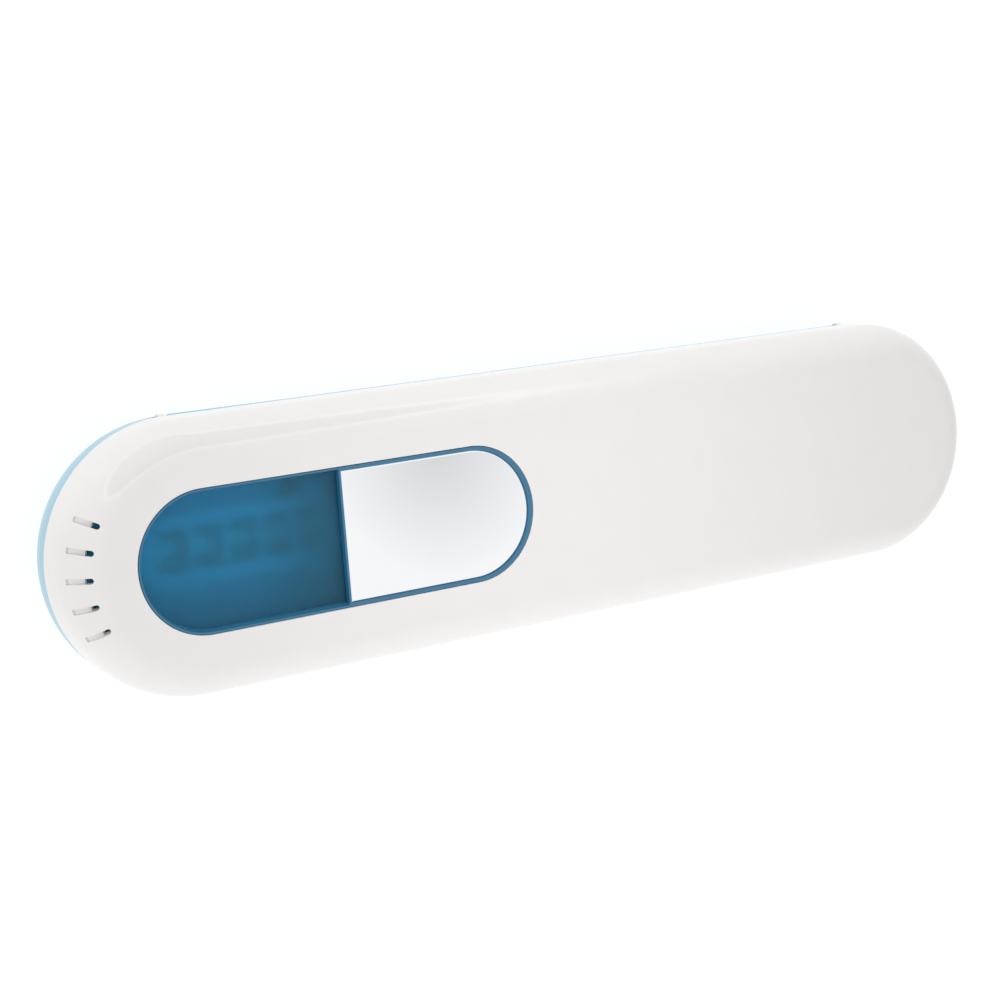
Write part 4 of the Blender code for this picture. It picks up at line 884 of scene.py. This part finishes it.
# Moulded silicone rubber: matt and slightly warm, so that it looks soft.
silicone = surface("white_silicone_moulded", ("#E0E0DC", "#E8E8E4"), (0.5, 0.62), 1.0 * MM)
# Moulded acetal: a waxy white with a broad highlight.
acetal = surface("white_acetal_moulded", ("#E8E8E4", "#EFEFEC"), (0.3, 0.4), 0.6 * MM)
# Closed-cell foam tape: a dull white with no highlight at all.
foam = surface("white_foam_tape", ("#D2D2CE", "#DEDEDA"), (0.85, 0.95), 0.3 * MM)
# Extruded PVC: an even colour along the wire with a soft highlight.
red_pvc = surface("red_pvc_extruded", ("#A02E2C", "#B03836"), (0.4, 0.5), 0.5 * MM)
black_pvc = surface("black_pvc_extruded", ("#1E1F22", "#27282B"), (0.4, 0.5), 0.5 * MM)
white_pvc = surface("white_pvc_extruded", ("#DEDEDA", "#E8E8E4"), (0.4, 0.5), 0.5 * MM)
print("plastics, rubber and glass mixed")

# %% Metals and electronics inside
# Zinc-plated steel: a grey shine, broken up by the fine crystals of the plating.
steel = surface("zinc_plated_steel", ("#AEB1B4", "#BDBFC1"), (0.26, 0.38), 0.4 * MM, sockets=SILVERY)
# Nickel-plated brass: warmer and brighter than zinc, with a tighter highlight.
nickel = surface("nickel_plated_brass", ("#C6C2B8", "#D0CCC3"), (0.2, 0.3), 0.5 * MM, sockets=SILVERY)
# Etched aluminium: nearly white and matt, because the etch scatters the lamp's light.
etched = {"Metallic": 0.2}
aluminium = surface("etched_aluminium_sheet", ("#F0F2F3", "#F6F7F8"), (0.5, 0.6), 0.6 * MM, sockets=etched)
# Printed steel of a dry cell: dark grey ink over metal, so its highlight is still metallic.
printed = {"Metallic": 0.6}
cell = surface("printed_steel_cell", ("#454950", "#52565E"), (0.24, 0.34), 0.7 * MM, sockets=printed)
# Solder-masked fibreglass: green lacquer that lets the weave show as a slight mottle.
fibreglass = surface("green_fibreglass_board", ("#28613B", "#34734A"), (0.36, 0.5), 0.5 * MM)
# Sintered ferrite: charcoal and dry, like fired clay.
ferrite = surface("ferrite_sintered", ("#343436", "#414143"), (0.52, 0.7), 0.3 * MM)
# Heat-shrunk sleeve: black with a tight, slightly oily shine.
sleeve = surface("black_shrink_sleeve", ("#1F2228", "#272A31"), (0.28, 0.4), 0.8 * MM)
# Moulded epoxy: black and fine-grained, with a wide dull highlight.
epoxy = surface("black_epoxy_moulded", ("#1B1C1E", "#232426"), (0.44, 0.58), 0.2 * MM)
print("metals and electronics mixed")

# %% Paint the inner parts
finishes = {
    guard_abs: ["lamp_guard"],
    steel: ["hinge_pin", "battery_spring"],
    nickel: ["lamp_cap", "positive_contact", "negative_contact", "bridge_contact"],
    aluminium: ["lamp_reflector"],
    quartz: ["uv_tube"],
    silicone: ["lamp_holder"],
    fibreglass: ["circuit_board"],
    ferrite: ["inverter_transformer"],
    sleeve: ["filter_capacitor"],
    epoxy: ["timer_chip", "lid_switch"],
    acetal: ["switch_plunger"],
    cell: ["battery_1", "battery_2"],
    red_pvc: ["battery_lead_positive"],
    black_pvc: ["battery_lead_negative"],
    white_pvc: ["lamp_lead"],
    foam: ["mirror_tape"],
}
for material, starts in finishes.items():
    paint(material, *[node for name, node in nodes.items() if name.startswith(tuple(starts))])
paint(steel, *screws)
print(len(finishes), "inner finishes")

# %% [markdown]
# ## Camera
#
# The camera stands to the left and above, as in the photograph, on a lens that is a little long, so that the
# far end tapers gently. Its place was found by fitting the outlines of the case, the window and the mirror.
# Three axes, right, up and towards the eye, make its turn, which is easier to read than three angles.

# %% Camera
CAMERA_PLACE = Vector((-230.27, 68.54, 376.90)) * MM
CAMERA_AIM = Vector((-21.05, 3.33, 28.0)) * MM
CAMERA_UP = Vector((0.14583, 0.98458, -0.09660))
CAMERA_LENS = 73.19
SENSOR_WIDTH = 36.0

camera_data = bpy.data.cameras.new("camera")
camera_data.lens = CAMERA_LENS
camera_data.sensor_width = SENSOR_WIDTH
camera = bpy.data.objects.new("camera", camera_data)
bpy.context.scene.collection.objects.link(camera)
bpy.context.scene.camera = camera
towards = (CAMERA_PLACE - CAMERA_AIM).normalized()
right = CAMERA_UP.cross(towards).normalized()
upward = towards.cross(right)
turn = Matrix((right, upward, towards)).transposed()
camera.matrix_world = Matrix.Translation(CAMERA_PLACE) @ turn.to_4x4()
print("camera", round((CAMERA_PLACE - CAMERA_AIM).length / MM), "mm from the case")

# %% [markdown]
# ## Floor
#
# The case lies on a sheet of pale paper. The sheet glows just enough to look white to the camera and in
# reflections, and its own grey still takes the case's soft shadow. It sits a hair below the case, so that the
# two flat faces don't flicker, and it is clear from below, so that the back of the case can be looked at.

# %% Floor
FLOOR_SIZE = 3.0
FLOOR_GLOW = 0.79
FLOOR_GAP = 0.1 * MM
PAPER_GREY = "#969696"
WHITE_LIGHT = "#FFFFFF"


def seen_directly(tree):
    """1 for rays from the camera and for reflected or transmitted ones."""
    path = add_node(tree, "ShaderNodeLightPath")
    either = add_node(
        tree,
        "ShaderNodeMath",
        {"operation": "MAXIMUM"},
        {0: path.outputs["Is Camera Ray"], 1: path.outputs["Is Glossy Ray"]},
    )
    return add_node(
        tree,
        "ShaderNodeMath",
        {"operation": "MAXIMUM"},
        {0: either.outputs[0], 1: path.outputs["Is Transmission Ray"]},
    )


half = FLOOR_SIZE / 2
floor_shape = bmesh.new()
corners = ((-half, -half), (half, -half), (half, half), (-half, half))
floor_shape.faces.new([floor_shape.verts.new((x, y, -FLOOR_GAP)) for x, y in corners])
floor = object_from("floor", floor_shape)
paper = bpy.data.materials.new("white_paper_sweep")
paper.use_nodes = True
tree = paper.node_tree
tree.nodes.clear()
diffuse = add_node(tree, "ShaderNodeBsdfDiffuse", {"Color": linear(PAPER_GREY)})
strength = add_node(
    tree, "ShaderNodeMath", {"operation": "MULTIPLY", 1: FLOOR_GLOW}, {0: seen_directly(tree).outputs[0]}
)
glow = add_node(tree, "ShaderNodeEmission", {"Color": linear(WHITE_LIGHT)}, {"Strength": strength.outputs[0]})
both = add_node(tree, "ShaderNodeAddShader", (), {0: diffuse.outputs[0], 1: glow.outputs[0]})
side = add_node(tree, "ShaderNodeNewGeometry")
clear = add_node(tree, "ShaderNodeBsdfTransparent")
sheet = add_node(
    tree, "ShaderNodeMixShader", (), {0: side.outputs["Backfacing"], 1: both.outputs[0], 2: clear.outputs[0]}
)
add_node(tree, "ShaderNodeOutputMaterial", (), {"Surface": sheet.outputs[0]})
floor.visible_diffuse = False
floor.visible_shadow = False
paint(paper, floor)
print("floor", FLOOR_SIZE, "m wide")

# %% [markdown]
# ## Dome
#
# A glossy white shell shows its form by what it reflects, so the case sits under an even white dome, as in a
# light tent. Behind it the dome has a dim round panel with a bright edge, which draws the long streak on the
# far shoulder, and above it a small dim spot, which the mirror shows as a soft grey. Only reflections see
# either of them.

# %% Dome with its panels
DOME_STRENGTH = 0.73
PANEL_HEADING = Vector((0.0, 0.8, 0.6))
SPOT_HEADING = Vector((0.486, -0.130, 0.864))
ROUND = (1.0, 1.0, 1.0)
NARROWED = (1.25, 1.0, 1.0)
# A patch is a direction, its scale along x, y and z, an inner and an outer radius, and what it takes from the
# dome. The first takes less than nothing, so it is the panel's bright edge.
PATCHES = (
    (PANEL_HEADING, ROUND, 0.56, 0.60, -1.1),
    (PANEL_HEADING, ROUND, 0.51, 0.54, 1.85),
    (SPOT_HEADING, NARROWED, 0.0, 0.068, 0.30),
)

world = bpy.data.worlds.new("studio_dome")
bpy.context.scene.world = world
world.use_nodes = True
tree = world.node_tree
tree.nodes.clear()
direct = seen_directly(tree)
level = add_node(
    tree,
    "ShaderNodeMapRange",
    {"To Min": DOME_STRENGTH, "To Max": 1.0},
    {"Value": direct.outputs[0]},
)
reflected = add_node(tree, "ShaderNodeLightPath")
heading = add_node(tree, "ShaderNodeTexCoord")
for direction, scale, inner, outer, loss in PATCHES:
    offset = add_node(
        tree,
        "ShaderNodeVectorMath",
        {"operation": "SUBTRACT", 1: direction.normalized()},
        {0: heading.outputs["Generated"]},
    )
    scaled = add_node(
        tree, "ShaderNodeVectorMath", {"operation": "MULTIPLY", 1: scale}, {0: offset.outputs[0]}
    )
    distance = add_node(tree, "ShaderNodeVectorMath", {"operation": "LENGTH"}, {0: scaled.outputs[0]})
    limits = {"From Min": inner, "From Max": outer, "To Min": loss, "To Max": 0.0}
    patch = add_node(tree, "ShaderNodeMapRange", limits, {"Value": distance.outputs["Value"]})
    shade = add_node(
        tree,
        "ShaderNodeMath",
        {"operation": "MULTIPLY"},
        {0: patch.outputs[0], 1: reflected.outputs["Is Glossy Ray"]},
    )
    level = add_node(
        tree, "ShaderNodeMath", {"operation": "SUBTRACT"}, {0: level.outputs[0], 1: shade.outputs[0]}
    )
dome = add_node(tree, "ShaderNodeBackground", {"Color": linear(WHITE_LIGHT)}, {"Strength": level.outputs[0]})
add_node(tree, "ShaderNodeOutputWorld", (), {"Surface": dome.outputs[0]})
print("dome with", len(PATCHES), "patches")

# %% [markdown]
# ## Soft lights
#
# Three low, broad lights from the left, the back and the front round the shoulders off, and a small one
# overhead lifts the flat near the window. All are weak, so that no part of the white lid clips, and they stay
# out of reflections, which the dome gives.

# %% Soft lights
# A light is its place in metres, its size in metres and its power in watts.
SOFT_LIGHTS = {
    "overhead_light": (Vector((-0.01, 0.0, 0.14)), 0.10, 0.033),
    "left_light": (Vector((-0.8, 0.0, 0.15)), 0.5, 1.3),
    "back_light": (Vector((0.0, 0.9, 0.12)), 0.6, 2.6),
    "front_light": (Vector((0.0, -0.7, 0.12)), 0.6, 1.7),
}
for name, (place, size, power) in SOFT_LIGHTS.items():
    light_data = bpy.data.lights.new(name, "AREA")
    light_data.size = size
    light_data.energy = power
    light = bpy.data.objects.new(name, light_data)
    bpy.context.scene.collection.objects.link(light)
    light.location = place
    light.rotation_mode = "QUATERNION"
    light.rotation_quaternion = place.to_track_quat("Z", "Y")
    light.visible_glossy = False
    light.visible_camera = False
print(len(SOFT_LIGHTS), "soft lights")

# %% [markdown]
# ## Colour view
#
# The view transform is Standard, so a colour renders without a film curve.

# %% View transform
bpy.context.scene.view_settings.view_transform = "Standard"
